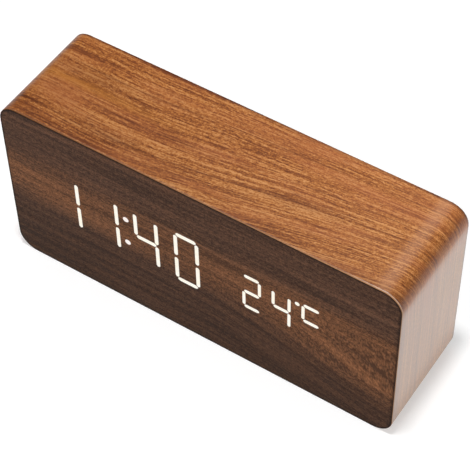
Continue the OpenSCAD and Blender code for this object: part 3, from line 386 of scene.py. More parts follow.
def grainLayers(tree, along, across, seed):
    sway = grainMark(tree, along, across, swaySet["mark"], seed)
    across = swung(tree, across, sway, swaySet["reach"])
    layers = {key: grainMark(tree, along, across, mark, seed) for key, mark in grainSet.items()}
    layers["across"] = across
    return layers


def sumOfLayers(tree, layers, gains, middle):
    total = middle
    for key, gain in gains.items():
        total = swung(tree, total, layers[key], gain)
    return total


def band(tree, value, middle, reach, core=0.0):
    away = calc(tree, "ABSOLUTE", calc(tree, "SUBTRACT", value, middle))
    return mapRange(tree, away, reach, core, 0.0, 1.0, smooth=True)


def caseFilm(name, look, wraps):
    material, tree, shader = startMaterial(
        name, Coat_Roughness=look["coatRoughness"], Coat_IOR=look["coatIor"])
    xyz = axesOf(tree, spotInMillimetres(tree))
    along, depth = xyz["X"], xyz["Y"]
    below = calc(tree, "SUBTRACT", caseHeight, xyz["Z"])
    if wraps:
        along = calc(tree, "MULTIPLY_ADD", calc(tree, "SIGN", along), below, along)
    fan = look["fan"]
    climb = mapRange(tree, along, fan["from"], fan["to"], 0.0, fan["climb"], smooth=True)
    share = mapRange(tree, depth, caseDepth / 2, -caseDepth / 2, fan["rearShare"], 1.0)
    across = calc(tree, "SUBTRACT", depth, calc(tree, "MULTIPLY", climb, share))
    layers = grainLayers(tree, along, across, seed=2.0)
    tone = sumOfLayers(tree, layers, look["gains"], 0.0)
    ends = look["ends"]
    calm = mapRange(tree, below, ends["from"], ends["to"], 1.0, ends["calm"])
    colour = ramp(tree, calc(tree, "MULTIPLY_ADD", tone, calm, look["toneMiddle"]), look["tones"])
    hue = grainMark(tree, along, across, look["redMark"])
    colour = blend(tree, shareOf(tree, hue, look["redShare"]), colour, look["red"])
    gold = look["goldBand"]
    golden = calc(
        tree, "MULTIPLY", band(tree, layers["across"], gold["middle"], gold["reach"]),
        shareOf(tree, along, gold, smooth=True))
    colour = blend(tree, golden, colour, look["gold"])
    streaks = 0.0
    for middle, reach in look["darkStreaks"]:
        streaks = calc(tree, "MAXIMUM", streaks, band(tree, layers["across"], middle, reach))
    broken = grainMark(tree, along, across, look["breakMark"])
    streaks = calc(tree, "MULTIPLY", streaks, shareOf(tree, broken, look["breakShare"]))
    dashes = shareOf(tree, layers["dash"], look["dashShare"])
    dark = calc(tree, "MULTIPLY", calc(tree, "MAXIMUM", streaks, dashes), calm)
    colour = blend(tree, dark, colour, look["dark"], "MULTIPLY")
    brown = 0.0
    for middle, reach, there, length in look["brownBands"]:
        here = calc(tree, "MULTIPLY", band(tree, layers["across"], middle, reach), band(tree, along, there, length))
        brown = calc(tree, "MAXIMUM", brown, here)
    colour = blend(tree, calc(tree, "MULTIPLY", brown, look["brownShare"]), colour, look["dark"], "MULTIPLY")
    # the right end is painted yellower and paler, a painted reflection of its grazing sheen
    tint, endSheenTint = look["tint"], look["endSheenTint"]
    tinted = blend(tree, mapRange(tree, along, tint["from"], tint["to"]), tint["left"], tint["right"])
    tinted = blend(tree, mapRange(tree, along, endSheenTint["from"], endSheenTint["to"]), tinted, endSheenTint["tint"])
    colour = blend(tree, 1.0, colour, tinted, "MULTIPLY")
    slope = look["slope"]
    sloped = mapRange(tree, depth, caseDepth / 2, -caseDepth / 2, slope["rear"], slope["front"])
    colour = lighten(tree, colour, sloped)
    # painted highlight across the start of the right corner's arc
    crown = look["crown"]
    arcHighlightMask = band(tree, xyz["X"], crown["middle"], crown["reach"])
    colour = blend(tree, calc(tree, "MULTIPLY", arcHighlightMask, crown["share"]), colour, crown["arcHighlight"])
    strip = look["frontStrip"]
    shaded = calc(
        tree, "MULTIPLY", band(tree, depth, strip["middle"], strip["reach"]),
        shareOf(tree, xyz["X"], strip))
    colour = blend(tree, shaded, colour, look["dark"], "MULTIPLY")
    # painted shade down the upper arcs of the rounded ends
    corner = look["corner"]
    arc = band(tree, below, corner["middle"], corner["reach"])
    colour = blend(tree, arc, colour, corner["shade"], "MULTIPLY")
    # painted highlight along the front edge, strongest to the right
    width, share = look["edgeHighlightWidth"], look["edgeHighlightShare"]
    most = mapRange(tree, xyz["X"], share["from"], share["to"], share["least"], share["most"], smooth=True)
    highlighted = mapRange(tree, depth, -caseDepth / 2 + width["from"], -caseDepth / 2 + width["to"], 0.0, most)
    colour = blend(tree, highlighted, colour, look["edgeHighlight"])
    width = look["rearEdge"]
    rear = mapRange(tree, depth, caseDepth / 2 - width["from"], caseDepth / 2 - width["to"])
    colour = blend(tree, rear, colour, look["dark"], "MULTIPLY")
    setColour(tree, shader, colour)
    lacquer = look["lacquer"]
    weight = mapRange(tree, xyz["X"], lacquer["from"], lacquer["to"], lacquer["thin"], 1.0, smooth=True)
    edge = band(tree, below, lacquer["arcFrom"], lacquer["arcTo"] - lacquer["arcFrom"])
    weight = calc(tree, "MULTIPLY", weight, mapRange(tree, edge, 0.0, 1.0, 1.0, lacquer["arc"]))
    weight = calc(tree, "MULTIPLY", weight, mapRange(tree, xyz["Z"], 0.0, lacquer["footTo"], lacquer["foot"], 1.0))
    tree.links.new(weight, shader.inputs["Coat Weight"])
    setRoughness(tree, shader, layers["fibre"], look["roughness"], swing=0.07)
    setBump(tree, shader, layers["fibre"], strength=0.25, depth=0.05)
    return material


def outlineDistance(tree, xyz, low, high, radius):
    sides = []
    for value, start, end in ((xyz["X"], low.x, high.x), (xyz["Z"], low.z, high.z)):
        away = calc(tree, "ABSOLUTE", calc(tree, "SUBTRACT", value, (start + end) / 2))
        sides.append(calc(tree, "SUBTRACT", away, (end - start) / 2 - radius))
    outer = [calc(tree, "MAXIMUM", side, 0.0) for side in sides]
    corner = calc(tree, "SQRT", calc(tree, "MULTIPLY_ADD", outer[0], outer[0], calc(tree, "POWER", outer[1], 2.0)))
    inner = calc(tree, "MINIMUM", calc(tree, "MAXIMUM", *sides), 0.0)
    return calc(tree, "SUBTRACT", radius, calc(tree, "ADD", corner, inner))


def frontFilm(name, look):
    material, tree, shader = startMaterial(name, Specular_IOR_Level=0.05)
    xyz = axesOf(tree, spotInMillimetres(tree))
    along, height = xyz["X"], xyz["Z"]
    sink = look["sink"]
    drop = mapRange(tree, along, sink["from"], sink["to"], 0.0, sink["drop"], smooth=True)
    share = mapRange(tree, height, sink["top"], sink["bottom"])
    level = calc(tree, "MULTIPLY_ADD", drop, share, height)
    layers = grainLayers(tree, along, level, seed=71.0)
    wavy = swung(tree, layers["across"], layers["broad"], look["wave"])
    # darker towards the bottom; near the floor this is painted shade
    turn = mapRange(tree, height, look["turn"]["from"], look["turn"]["to"], smooth=True)
    colour = blend(tree, turn, look["lower"], look["upper"])
    red = 0.0
    for key in ("leftBand", "rightBand"):
        part = look[key]
        there = mapRange(tree, along, part["from"], part["to"], look["midShare"], part["share"], smooth=True)
        here = calc(tree, "MULTIPLY", band(tree, wavy, part["middle"], part["reach"], part["core"]), there)
        red = calc(tree, "MAXIMUM", red, here)
    colour = blend(tree, red, colour, look["red"])
    gain = sumOfLayers(tree, layers, look["gains"], 1.0)
    colour = lighten(tree, colour, calc(tree, "MAXIMUM", gain, look["darkest"]))
    colour = blend(tree, shareOf(tree, layers["dash"], look["poreShare"]), colour, look["pore"], "MULTIPLY")
    inside = outlineDistance(tree, xyz, *boxOf("front_film"), look["cornerRadius"])
    rim = mapRange(tree, inside, look["rim"]["from"], look["rim"]["to"], smooth=True)
    colour = blend(tree, rim, colour, look["rimShade"], "MULTIPLY")
    # painted highlight on the film's side faces, faint to the left and strong to the right
    edge = look["side"]
    sideHighlight = blend(tree, mapRange(tree, along, -edge["reach"], edge["reach"]), edge["left"], edge["right"])
    onEdge = mapRange(tree, xyz["Y"], -caseDepth / 2 + edge["from"], -caseDepth / 2 + edge["to"])
    setColour(tree, shader, blend(tree, onEdge, colour, sideHighlight))
    setRoughness(tree, shader, layers["fibre"], look["roughness"], swing=0.08)
    setBump(tree, shader, layers["fibre"], strength=0.2, depth=0.04)
    return material


dress(caseFilm("walnutFilm", caseFilmSet, True), "case_film")
dress(caseFilm("walnutFilmBase", caseFilmSet, False), "base_film")
dress(frontFilm("darkWalnutFilm", frontFilmSet), "front_film")
print("wood films done")


# lit digits

litSet = {
    "cream": {"core": (1.0, 0.965, 0.88), "edge": (0.98, 0.91, 0.76), "strength": 0.98, "clouds": 0.7},
    "pink": {"core": (1.0, 0.93, 0.88), "edge": (0.98, 0.85, 0.78), "strength": 0.95, "clouds": 0.7},
}


def litSegments(name, look):
    material, tree, shader = startMaterial(
        name, Roughness=0.5, Specular_IOR_Level=0.1, Base_Color=(0.02, 0.02, 0.02, 1.0),
        Emission_Strength=look["strength"])
    spot = spotInMillimetres(tree)
    colour = clouded(tree, noise(tree, spot, look["clouds"]), look["edge"], look["core"])
    tree.links.new(colour, shader.inputs["Emission Color"])
    return material


dress(litSegments("litCream", litSet["cream"]), "lit_time_digits", "lit_temperature")
dress(litSegments("litPink", litSet["pink"]), "lit_colon")
print("lit digits done")


# board, blocks and other plain stock

fibreboardSet = {
    "tones": [(0.30, (0.225, 0.135, 0.070)), (0.50, (0.385, 0.250, 0.140)), (0.72, (0.545, 0.385, 0.240))],
    "flakes": 1.7,  # in a millimetre
    "clouds": 0.14, "cloudSwing": 0.1,
    "roughness": 0.82,
}
softwoodSet = {
    "tones": [(0.25, (0.420, 0.250, 0.110)), (0.55, (0.640, 0.450, 0.240)), (0.80, (0.720, 0.540, 0.320))],
    "rings": 0.09,
    "fibre": (9.0, 0.3, 7.0, 2.0), "fibreGain": 0.9,
    "roughness": 0.7,
}
sheetSet = {"dim": (0.76, 0.76, 0.73), "bright": (0.86, 0.86, 0.84), "grain": 2.5, "roughness": 0.6}


def fibreboard(name, look):
    material, tree, shader = startMaterial(name, Specular_IOR_Level=0.2)
    spot = spotInMillimetres(tree)
    flakes = noise(tree, spot, look["flakes"], detail=3.0, roughness=0.65)
    colour = ramp(tree, flakes, look["tones"])
    setColour(tree, shader, mottled(tree, colour, noise(tree, spot, look["clouds"]), look["cloudSwing"]))
    setRoughness(tree, shader, flakes, look["roughness"], swing=0.1)
    setBump(tree, shader, flakes, strength=0.5, depth=0.06)
    return material


def softwood(name, look):
    material, tree, shader = startMaterial(name, Specular_IOR_Level=0.25)
    spot = spotInMillimetres(tree)
    xyz = axesOf(tree, spot)
    rings = addNode(
        tree, "ShaderNodeTexWave", {"Vector": spot, "Scale": look["rings"], "Distortion": 2.5, "Detail Scale": 0.4},
        wave_type="RINGS", rings_direction="Y").outputs["Fac"]
    fibres = grainMark(tree, xyz["Y"], xyz["X"], look["fibre"])
    setColour(tree, shader, ramp(tree, swung(tree, rings, fibres, look["fibreGain"]), look["tones"]))
    setRoughness(tree, shader, fibres, look["roughness"], swing=0.08)
    setBump(tree, shader, fibres, strength=0.3, depth=0.04)
    return material


def milkySheet(name, look):
    material, tree, shader = startMaterial(name, Specular_IOR_Level=0.4)
    spot = spotInMillimetres(tree)
    grain = noise(tree, spot, look["grain"], detail=3.0)
    setColour(tree, shader, clouded(tree, grain, look["dim"], look["bright"]))
    setRoughness(tree, shader, grain, look["roughness"], swing=0.06)
    setBump(tree, shader, grain, strength=0.2, depth=0.02)
    return material


dress(fibreboard("fibreboard", fibreboardSet), "case_sleeve", "front_panel")
dress(softwood("blockPine", softwoodSet), "corner_blocks")
dress(milkySheet("diffuserMilk", sheetSet), "diffuser_sheet")
print("board, blocks and sheet done")


# moulded plastics: a spark finish, slow clouds and rubbed edges

plasticSet = {
    "cover": {
        "colour": (0.0200, 0.0190, 0.0180), "cloud": (0.0270, 0.0255, 0.0240), "rubbed": (0.095, 0.090, 0.084),
        "speckle": 0.4, "spark": 1.5, "sparkDepth": 0.06, "roughness": 0.52, "edge": 0.55, "corner": 4.2,
        "doorCorner": 0.6},
    "button": {
        "colour": (0.0330, 0.0330, 0.0340), "cloud": (0.0400, 0.0400, 0.0410), "rubbed": (0.085, 0.085, 0.086),
        "speckle": 0.25, "spark": 2.4, "sparkDepth": 0.025, "roughness": 0.46, "polish": 0.28,
        "dish": {"core": 0.81, "reach": 2.7}},
    "black": {
        "colour": (0.0150, 0.0150, 0.0155), "cloud": (0.0210, 0.0210, 0.0215), "rubbed": (0.06, 0.06, 0.06),
        "speckle": 0.25, "spark": 3.0, "sparkDepth": 0.02, "roughness": 0.45},
    "white": {
        "colour": (0.760, 0.755, 0.735), "cloud": (0.820, 0.815, 0.795), "rubbed": (0.88, 0.87, 0.85),
        "speckle": 0.05, "spark": 1.8, "sparkDepth": 0.02, "roughness": 0.5},
    "cream": {
        "colour": (0.640, 0.560, 0.400), "cloud": (0.700, 0.625, 0.460), "rubbed": (0.78, 0.72, 0.58),
        "speckle": 0.08, "spark": 2.2, "sparkDepth": 0.015, "roughness": 0.42},
}


mouldSet = {"clouds": 0.11, "roughSwing": 0.06}  # the same for every plastic
scuffSet = {"slant": 0.4, "mark": (14.0, 0.25, 3.0, 2.0), "from": 0.68, "to": 0.78, "most": 0.22}
rubSet = {"core": 0.05, "patches": 0.22, "from": 0.40, "to": 0.66, "most": 0.8}


def edgeRub(tree, spot, xyz, outlines, reach):
    rubbed = 0.0
    for low, high, radius in outlines:
        away = calc(tree, "ABSOLUTE", outlineDistance(tree, xyz, low, high, radius))
        rubbed = calc(tree, "MAXIMUM", rubbed, mapRange(tree, away, reach, rubSet["core"], smooth=True))
    patches = shareOf(tree, noise(tree, spot, rubSet["patches"]), rubSet)
    return calc(tree, "MULTIPLY", rubbed, patches)


def mouldedPlastic(name, look, outlines=()):
    material, tree, shader = startMaterial(name, Specular_IOR_Level=0.45)
    spot = spotInMillimetres(tree)
    xyz = axesOf(tree, spot)
    spark = noise(tree, spot, look["spark"], detail=4.0, roughness=0.75)
    clouds = noise(tree, spot, mouldSet["clouds"], detail=3.0)
    colour = mottled(tree, clouded(tree, clouds, look["colour"], look["cloud"]), spark, look["speckle"])
    slant = calc(tree, "MULTIPLY_ADD", xyz["Z"], scuffSet["slant"], xyz["X"])
    rubbed = shareOf(tree, grainMark(tree, slant, xyz["Z"], scuffSet["mark"]), scuffSet)
    if outlines:
        rubbed = calc(tree, "MAXIMUM", rubbed, edgeRub(tree, spot, xyz, outlines, look["edge"]))
    setColour(tree, shader, blend(tree, rubbed, colour, look["rubbed"]))
    middle, swing = look["roughness"], mouldSet["roughSwing"]
    rough = mapRange(tree, clouds, noiseLow, noiseHigh, middle - swing, middle + swing)
    if "polish" in look:  # fingers smooth the dish of a button
        rough = polished(tree, xyz, look, rough)
    tree.links.new(rough, shader.inputs["Roughness"])
    setBump(tree, shader, spark, strength=0.5, depth=look["sparkDepth"])
    return material


def polished(tree, xyz, look, rough):
    setMiddle, upMiddle = middleOf("set_button"), middleOf("up_button")
    half = abs(upMiddle.x - setMiddle.x) / 2
    aside = calc(tree, "WRAP", calc(tree, "SUBTRACT", xyz["X"], upMiddle.x), half, -half)
    above = calc(tree, "SUBTRACT", xyz["Z"], upMiddle.z)
    away = calc(tree, "SQRT", calc(tree, "MULTIPLY_ADD", aside, aside, calc(tree, "MULTIPLY", above, above)))
    return mapRange(tree, away, look["dish"]["core"], look["dish"]["reach"], look["polish"], rough, smooth=True)


coverLow, coverHigh = boxOf("rear_cover")
doorLow, doorHigh = boxOf("battery_door")
hingePin = Vector((2.0, 0.0, 0.0))  # the door's box takes in its two pins
coverPlastic = mouldedPlastic("coverPlastic", plasticSet["cover"], [
    (coverLow, coverHigh, plasticSet["cover"]["corner"]),
    (doorLow + hingePin, doorHigh - hingePin, plasticSet["cover"]["doorCorner"])])
buttonPlastic = mouldedPlastic("buttonPlastic", plasticSet["button"])
blackPlastic = mouldedPlastic("blackPlastic", plasticSet["black"])
whitePlastic = mouldedPlastic("whitePlastic", plasticSet["white"])
creamPlastic = mouldedPlastic("creamPlastic", plasticSet["cream"])
dress(coverPlastic, "rear_cover", "battery_door")
dress(buttonPlastic, "set_button", "up_button", "down_button")
dress(blackPlastic, "key_switches", "set_plunger", "up_plunger", "down_plunger", "socket_tongue", "buzzer")
dress(whitePlastic, "light_box")
dress(creamPlastic, "lead_header", "ribbon_headers")
print("plastics done")


# metal

steelSet = {"dull": (0.40, 0.39, 0.37), "bright": (0.59, 0.58, 0.55), "clouds": 0.9, "fine": 9.0, "roughness": 0.33}


def platedSteel(name, look):
    material, tree, shader = startMaterial(name, Metallic=1.0)
    spot = spotInMillimetres(tree)
    clouds = noise(tree, spot, look["clouds"], detail=3.0)
    setColour(tree, shader, clouded(tree, clouds, look["dull"], look["bright"]))
    setRoughness(tree, shader, clouds, look["roughness"], swing=0.09)
    setBump(tree, shader, noise(tree, spot, look["fine"]), strength=0.3, depth=0.01)
    return material


steel = platedSteel("platedSteel", steelSet)
dress(
    steel, "display_screws", "quartz_crystal", "key_board_screws", "socket_shell", "cover_screws", "cell_springs",
    "cell_contacts")
print("metal done")


# circuit parts

tin = (0.56, 0.56, 0.54)
boardSet = {
    "mask": (0.012, 0.090, 0.036), "track": (0.022, 0.135, 0.055), "pad": tin,
    "trackPitch": 1.27, "trackGap": 0.28, "trackLength": 9.0, "weave": 3.0, "weaveSwing": 0.12,
    "padCells": 0.24, "padReach": 0.13, "padCore": 0.85, "roughness": 0.38,
}
chipSet = {
    "body": (0.014, 0.014, 0.015), "leg": tin, "grain": 5.0, "grainSwing": 0.15, "roughness": 0.5,
    "clockHalf": 3.75, "transistorHalf": 0.65, "legGap": 0.01,  # half of each body, past which the legs start
}
ledSet = {
    "body": (0.80, 0.79, 0.76), "lens": (0.84, 0.62, 0.10), "lensDepth": 0.12, "grain": 6.0, "grainSwing": 0.1,
}
capacitorSet = {
    "can": (0.62, 0.62, 0.61), "base": (0.016, 0.016, 0.017), "mark": (0.020, 0.020, 0.024),
    "baseDepth": 0.8, "markDepth": 0.15, "markShare": 0.32, "brush": (3.0, 0.2, 9.0, 2.0), "brushSwing": 0.1,
    "roughness": 0.36,
}
sensorSet = {
    "bead": (0.020, 0.018, 0.016), "wire": tin, "beadLength": 2.5, "beadEnd": 0.2, "grain": 3.0, "grainSwing": 0.15,
    "roughness": 0.3,
}


def circuitBoard(name, look):
    material, tree, shader = startMaterial(name, Specular_IOR_Level=0.5)
    spot = spotInMillimetres(tree)
    xyz = axesOf(tree, spot)
    flat = addNode(tree, "ShaderNodeCombineXYZ", {"X": xyz["X"], "Y": xyz["Z"], "Z": 0.0}).outputs[0]
    tracks = addNode(
        tree, "ShaderNodeTexBrick", {
            "Vector": flat, "Color1": (1.0, 1.0, 1.0, 1.0), "Color2": (0.6, 0.6, 0.6, 1.0),
            "Mortar": (0.0, 0.0, 0.0, 1.0), "Scale": 1.0, "Mortar Size": look["trackGap"],
            "Brick Width": look["trackLength"], "Row Height": look["trackPitch"]}).outputs["Color"]
    cells = addNode(tree, "ShaderNodeTexVoronoi", {"Vector": flat, "Scale": look["padCells"]}).outputs["Distance"]
    weave = noise(tree, spot, look["weave"])
    colour = mottled(tree, blend(tree, tracks, look["mask"], look["track"]), weave, look["weaveSwing"])
    pads = mapRange(tree, cells, look["padReach"], look["padReach"] * look["padCore"])
    setColour(tree, shader, blend(tree, pads, colour, look["pad"]))
    tree.links.new(pads, shader.inputs["Metallic"])
    setRoughness(tree, shader, weave, look["roughness"], swing=0.06)
    setBump(tree, shader, tracks, strength=0.3, depth=0.03)
    return material


def leggedChip(name, look, nodeName, bodyHalf):
    material, tree, shader = startMaterial(name)
    spot = spotInMillimetres(tree)
    xyz = axesOf(tree, spot)
    away = calc(tree, "ABSOLUTE", calc(tree, "SUBTRACT", xyz["Z"], middleOf(nodeName).z))
    leg = calc(tree, "GREATER_THAN", away, bodyHalf + look["legGap"])
    grain = noise(tree, spot, look["grain"], detail=3.0)
    colour = blend(tree, leg, look["body"], look["leg"])
    setColour(tree, shader, mottled(tree, colour, grain, look["grainSwing"]))
    tree.links.new(leg, shader.inputs["Metallic"])
    setRoughness(tree, shader, grain, look["roughness"], swing=0.1)
    setBump(tree, shader, grain, strength=0.4, depth=0.015)
    return material


def ledPackage(name, look):
    material, tree, shader = startMaterial(name, Roughness=0.4)
    spot = spotInMillimetres(tree)
    xyz = axesOf(tree, spot)
    front = boxOf("led_chips")[0].y
    lens = mapRange(tree, xyz["Y"], front + look["lensDepth"], front + look["lensDepth"] / 2)
    colour = blend(tree, lens, look["body"], look["lens"])
    setColour(tree, shader, mottled(tree, colour, noise(tree, spot, look["grain"]), look["grainSwing"]))
    return material


def capacitorCan(name, look):
    material, tree, shader = startMaterial(name)
    xyz = axesOf(tree, spotInMillimetres(tree))
    low, high = boxOf("smoothing_capacitor")
    base = calc(tree, "LESS_THAN", xyz["Y"], low.y + look["baseDepth"])
    top = calc(tree, "GREATER_THAN", xyz["Y"], high.y - look["markDepth"])
    side = calc(tree, "LESS_THAN", xyz["X"], low.x + (high.x - low.x) * look["markShare"])
    brushed = grainMark(tree, xyz["X"], xyz["Z"], look["brush"])
    colour = mottled(tree, blend(tree, base, look["can"], look["base"]), brushed, look["brushSwing"])
    mark = calc(tree, "MULTIPLY", top, side)
    setColour(tree, shader, blend(tree, mark, colour, look["mark"]))
    dark = calc(tree, "MAXIMUM", base, mark)
    tree.links.new(calc(tree, "SUBTRACT", 1.0, dark), shader.inputs["Metallic"])
    setRoughness(tree, shader, brushed, look["roughness"], swing=0.08)
    return material


def sensorBead(name, look):
    material, tree, shader = startMaterial(name)
    spot = spotInMillimetres(tree)
    xyz = axesOf(tree, spot)
    wireFrom = boxOf("temperature_sensor")[0].x + look["beadLength"]
    wire = mapRange(tree, xyz["X"], wireFrom, wireFrom + look["beadEnd"])
    grain = noise(tree, spot, look["grain"])
    colour = blend(tree, wire, look["bead"], look["wire"])
    setColour(tree, shader, mottled(tree, colour, grain, look["grainSwing"]))
    tree.links.new(wire, shader.inputs["Metallic"])
    setRoughness(tree, shader, grain, look["roughness"], swing=0.08)
    return material


dress(circuitBoard("boardMask", boardSet), "display_board", "key_board")
dress(leggedChip("chipResin", chipSet, "clock_chip", chipSet["clockHalf"]), "clock_chip")
dress(
    leggedChip("transistorResin", chipSet, "drive_transistors", chipSet["transistorHalf"]), "drive_transistors")
dress(ledPackage("ledPackage", ledSet), "led_chips")
dress(capacitorCan("capacitorCan", capacitorSet), "smoothing_capacitor")
dress(sensorBead("sensorBead", sensorSet), "temperature_sensor")
print("circuit parts done")


# leads, ribbon and cells

leadSet = {
    "red": {"colour": (0.52, 0.024, 0.018), "deep": (0.40, 0.016, 0.012)},
    "black": {"colour": (0.020, 0.020, 0.021), "deep": (0.013, 0.013, 0.014)},
    "clouds": 0.6, "grain": 6.0, "roughness": 0.42,
}
ribbonSet = {
    # the grooves between the wires are painted shade
    "colour": (0.36, 0.37, 0.39), "grooveShade": (0.17, 0.175, 0.19), "edge": (0.46, 0.030, 0.022), "wires": 6,
    "crown": 0.3, "clouds": 0.5, "cloudSwing": 0.1, "roughness": 0.45,
}
cellSet = {
    "jacket": (0.018, 0.130, 0.048), "deep": (0.012, 0.095, 0.034), "band": (0.55, 0.46, 0.24),
    "metal": (0.62, 0.61, 0.58), "bandFrom": 12.5, "capFrom": 20.9, "footFrom": -21.6, "length": 44.5,
    "blur": 0.05, "pitchHalf": 5.5, "clouds": 0.4, "jacketMetal": 0.25, "roughness": 0.3,
}


def softLead(name, look, colours):
    material, tree, shader = startMaterial(name, Specular_IOR_Level=0.45)
    spot = spotInMillimetres(tree)
    clouds = noise(tree, spot, look["clouds"], detail=3.0)
    setColour(tree, shader, clouded(tree, clouds, colours["deep"], colours["colour"]))
    setRoughness(tree, shader, clouds, look["roughness"], swing=0.07)
    setBump(tree, shader, noise(tree, spot, look["grain"]), strength=0.2, depth=0.01)
    return material


def flatRibbon(name, look):
    material, tree, shader = startMaterial(name, Specular_IOR_Level=0.4)
    spot = spotInMillimetres(tree)
    xyz = axesOf(tree, spot)
    low, high = boxOf("ribbon")
    pitch = (high.x - low.x) / look["wires"]
    across = calc(tree, "SUBTRACT", xyz["X"], low.x)
    wave = calc(tree, "PINGPONG", across, pitch / 2)
    crown = mapRange(tree, wave, 0.0, pitch * look["crown"], smooth=True)
    # painted shade in the grooves between the wires
    colour = blend(tree, crown, look["grooveShade"], look["colour"])
    colour = blend(tree, calc(tree, "LESS_THAN", across, pitch), colour, look["edge"])
    clouds = noise(tree, spot, look["clouds"], detail=3.0)
    setColour(tree, shader, mottled(tree, colour, clouds, look["cloudSwing"]))
    setRoughness(tree, shader, clouds, look["roughness"], swing=0.06)
    setBump(tree, shader, crown, strength=0.6, depth=0.08)
    return material


def cellJacket(name, look):
    material, tree, shader = startMaterial(name)
    spot = spotInMillimetres(tree)
    xyz = axesOf(tree, spot)
    low, high = boxOf("battery_cells")
    middle = middleOf("battery_cells")
    away = calc(tree, "ABSOLUTE", calc(tree, "SUBTRACT", xyz["Z"], middle.z))
    outer = calc(tree, "GREATER_THAN", away, look["pitchHalf"])
    way = calc(tree, "MULTIPLY_ADD", outer, 2.0, -1.0)  # the middle cell lies the other way
    along = calc(tree, "MULTIPLY", calc(tree, "SUBTRACT", xyz["X"], middle.x), way)
    along = calc(tree, "SUBTRACT", along, (high.x - low.x - look["length"]) / 2)
    clouds = noise(tree, spot, look["clouds"], detail=3.0)
    colour = clouded(tree, clouds, look["deep"], look["jacket"])
    blur = look["blur"]
    bandHere = mapRange(tree, along, look["bandFrom"] - blur, look["bandFrom"] + blur)
    colour = blend(tree, bandHere, colour, look["band"])
    capHere = mapRange(tree, along, look["capFrom"], look["capFrom"] + 2 * blur)
    footHere = mapRange(tree, along, look["footFrom"], look["footFrom"] - 2 * blur)
    ends = calc(tree, "MAXIMUM", capHere, footHere)
    setColour(tree, shader, blend(tree, ends, colour, look["metal"]))
    shiny = mapRange(tree, calc(tree, "MAXIMUM", ends, bandHere), 0.0, 1.0, look["jacketMetal"], 1.0)
    tree.links.new(shiny, shader.inputs["Metallic"])
    setRoughness(tree, shader, clouds, look["roughness"], swing=0.06)
    return material


dress(softLead("redLead", leadSet, leadSet["red"]), "red_lead")
dress(softLead("blackLead", leadSet, leadSet["black"]), "black_lead", "buzzer_leads")
dress(flatRibbon("greyRibbon", ribbonSet), "ribbon")
dress(cellJacket("cellJacket", cellSet), "battery_cells")
print("leads, ribbon and cells done")


# raised marks on the buttons and the door, and the contacts of the power socket

markSet = {
    "reach": 1.5, "foot": 19.85, "face": 20.17, "ringSides": 48, "ringWidth": 0.42, "ringSink": 0.26,
    "cornerRound": 0.3, "cornerSteps": 3, "edgeRound": 0.05, "edgeSteps": 2,
}
doorMarkSet = {
    "reach": 3.2, "foot": 18.95, "face": 19.5, "height": 40.2, "cornerRound": 0.7, "cornerSteps": 4,
    "edgeRound": 0.12, "edgeSteps": 3,
}
contactSet = {
    "count": 5, "pitch": 0.9, "width": 0.45, "length": 2.5, "thickness": 0.14, "inset": 0.3,
    "plate": 27.5, "round": 0.05, "steps": 2,
}
closeBy = 0.01  # in millimetres, for telling which edges lie on a face
smoothAngle = math.radians(35)


def selectParts(piece, kind, wanted):
    bpy.ops.object.mode_set(mode="OBJECT")
    mesh = piece.data
    for part in (*mesh.vertices, *mesh.edges, *mesh.polygons):
        part.select = False
    bpy.context.tool_settings.mesh_select_mode = (False, kind == "edges", kind == "polygons")
    for part in getattr(mesh, kind):
        part.select = wanted(part)
    bpy.ops.object.mode_set(mode="EDIT")


def addPrism(name, sides, look, x, z, pointsUp=False):
    bpy.ops.object.select_all(action="DESELECT")
    bpy.ops.mesh.primitive_cylinder_add(
        vertices=sides, radius=look["reach"] * mm, depth=(look["face"] - look["foot"]) * mm,
        location=(x * mm, (look["face"] + look["foot"]) / 2 * mm, z * mm),
        rotation=(math.radians(-90), math.radians(180 if pointsUp else 0), 0))
    bpy.ops.object.transform_apply(location=True, rotation=True, scale=True)
    prism = bpy.context.object
    prism.name = name
    return prism


def edgeEnds(piece, edge):
    return [piece.data.vertices[i].co / mm for i in edge.vertices]


def roundOuterEdges(piece, look):
    def onFace(edge):
        return all(abs(end.y - look["face"]) < closeBy for end in edgeEnds(piece, edge))
    selectParts(piece, "edges", onFace)
    bpy.ops.mesh.bevel(offset=look["edgeRound"] * mm, segments=look["edgeSteps"], affect="EDGES")
    bpy.ops.object.mode_set(mode="OBJECT")


def finishPiece(piece, body, material):
    bpy.ops.object.shade_smooth_by_angle(angle=smoothAngle)
    piece.data.materials.append(material)
    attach(piece, body)


def ringMark(name, look, x, z):
    ring = addPrism(name, look["ringSides"], look, x, z)
    selectParts(ring, "polygons", lambda face: face.normal.y > 0.9)
    bpy.ops.mesh.inset(thickness=look["ringWidth"] * mm, depth=0.0)
    bpy.ops.mesh.extrude_region_move(TRANSFORM_OT_translate={"value": (0.0, -look["ringSink"] * mm, 0.0)})
    roundOuterEdges(ring, look)
    return ring


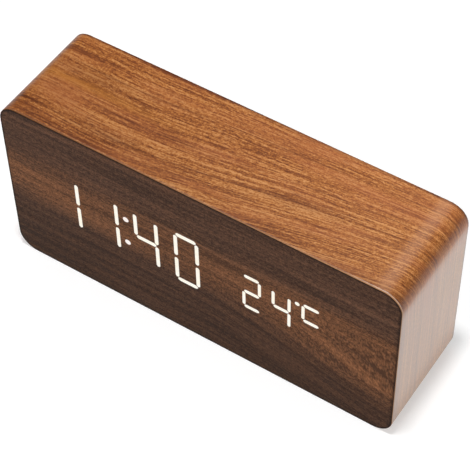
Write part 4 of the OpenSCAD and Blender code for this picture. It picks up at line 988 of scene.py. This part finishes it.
def triangleMark(name, look, x, z, pointsUp):
    mark = addPrism(name, 3, look, x, z, pointsUp)

    def alongDepth(edge):
        start, end = edgeEnds(mark, edge)
        return abs(start.y - end.y) > closeBy
    selectParts(mark, "edges", alongDepth)
    bpy.ops.mesh.bevel(offset=look["cornerRound"] * mm, segments=look["cornerSteps"], affect="EDGES")
    roundOuterEdges(mark, look)
    return mark


def tongueContacts(look):
    plate, rear = look["plate"], boxOf("socket_tongue")[1].y
    bpy.ops.object.select_all(action="DESELECT")
    bpy.ops.mesh.primitive_cube_add(
        size=1.0,
        location=(middleOf("socket_tongue").x * mm, (rear - look["inset"] - look["length"] / 2) * mm, plate * mm),
        scale=(look["width"] * mm, look["length"] * mm, look["thickness"] * mm))
    bpy.ops.object.transform_apply(location=True, rotation=True, scale=True)
    first = bpy.context.object
    selectParts(first, "edges", lambda edge: all(end.z < plate for end in edgeEnds(first, edge)))
    bpy.ops.mesh.bevel(offset=look["round"] * mm, segments=look["steps"], affect="EDGES")
    bpy.ops.object.mode_set(mode="OBJECT")
    for i in range(look["count"]):
        strip = first.copy()
        strip.data = first.data.copy()
        strip.name = "socketContact%d" % (i + 1)
        bpy.context.scene.collection.objects.link(strip)
        bpy.ops.object.select_all(action="DESELECT")
        strip.select_set(True)
        bpy.context.view_layer.objects.active = strip
        strip.location.x = (i - (look["count"] - 1) / 2) * look["pitch"] * mm
        bpy.ops.object.transform_apply(location=True, rotation=True, scale=True)
        finishPiece(strip, "case", steel)
    bpy.data.objects.remove(first)


setMiddle, upMiddle, downMiddle = (middleOf(name) for name in ("set_button", "up_button", "down_button"))
setRing = ringMark("setRing", markSet, setMiddle.x, setMiddle.z)
finishPiece(setRing, "set_key", whitePlastic)
upTriangle = triangleMark("upTriangle", markSet, upMiddle.x, upMiddle.z, True)
finishPiece(upTriangle, "up_key", whitePlastic)
downTriangle = triangleMark("downTriangle", markSet, downMiddle.x, downMiddle.z, False)
finishPiece(downTriangle, "down_key", whitePlastic)
finishPiece(
    triangleMark("doorTriangle", doorMarkSet, middleOf("battery_door").x, doorMarkSet["height"], False),
    "door", coverPlastic)
tongueContacts(contactSet)
print("marks and contacts done")
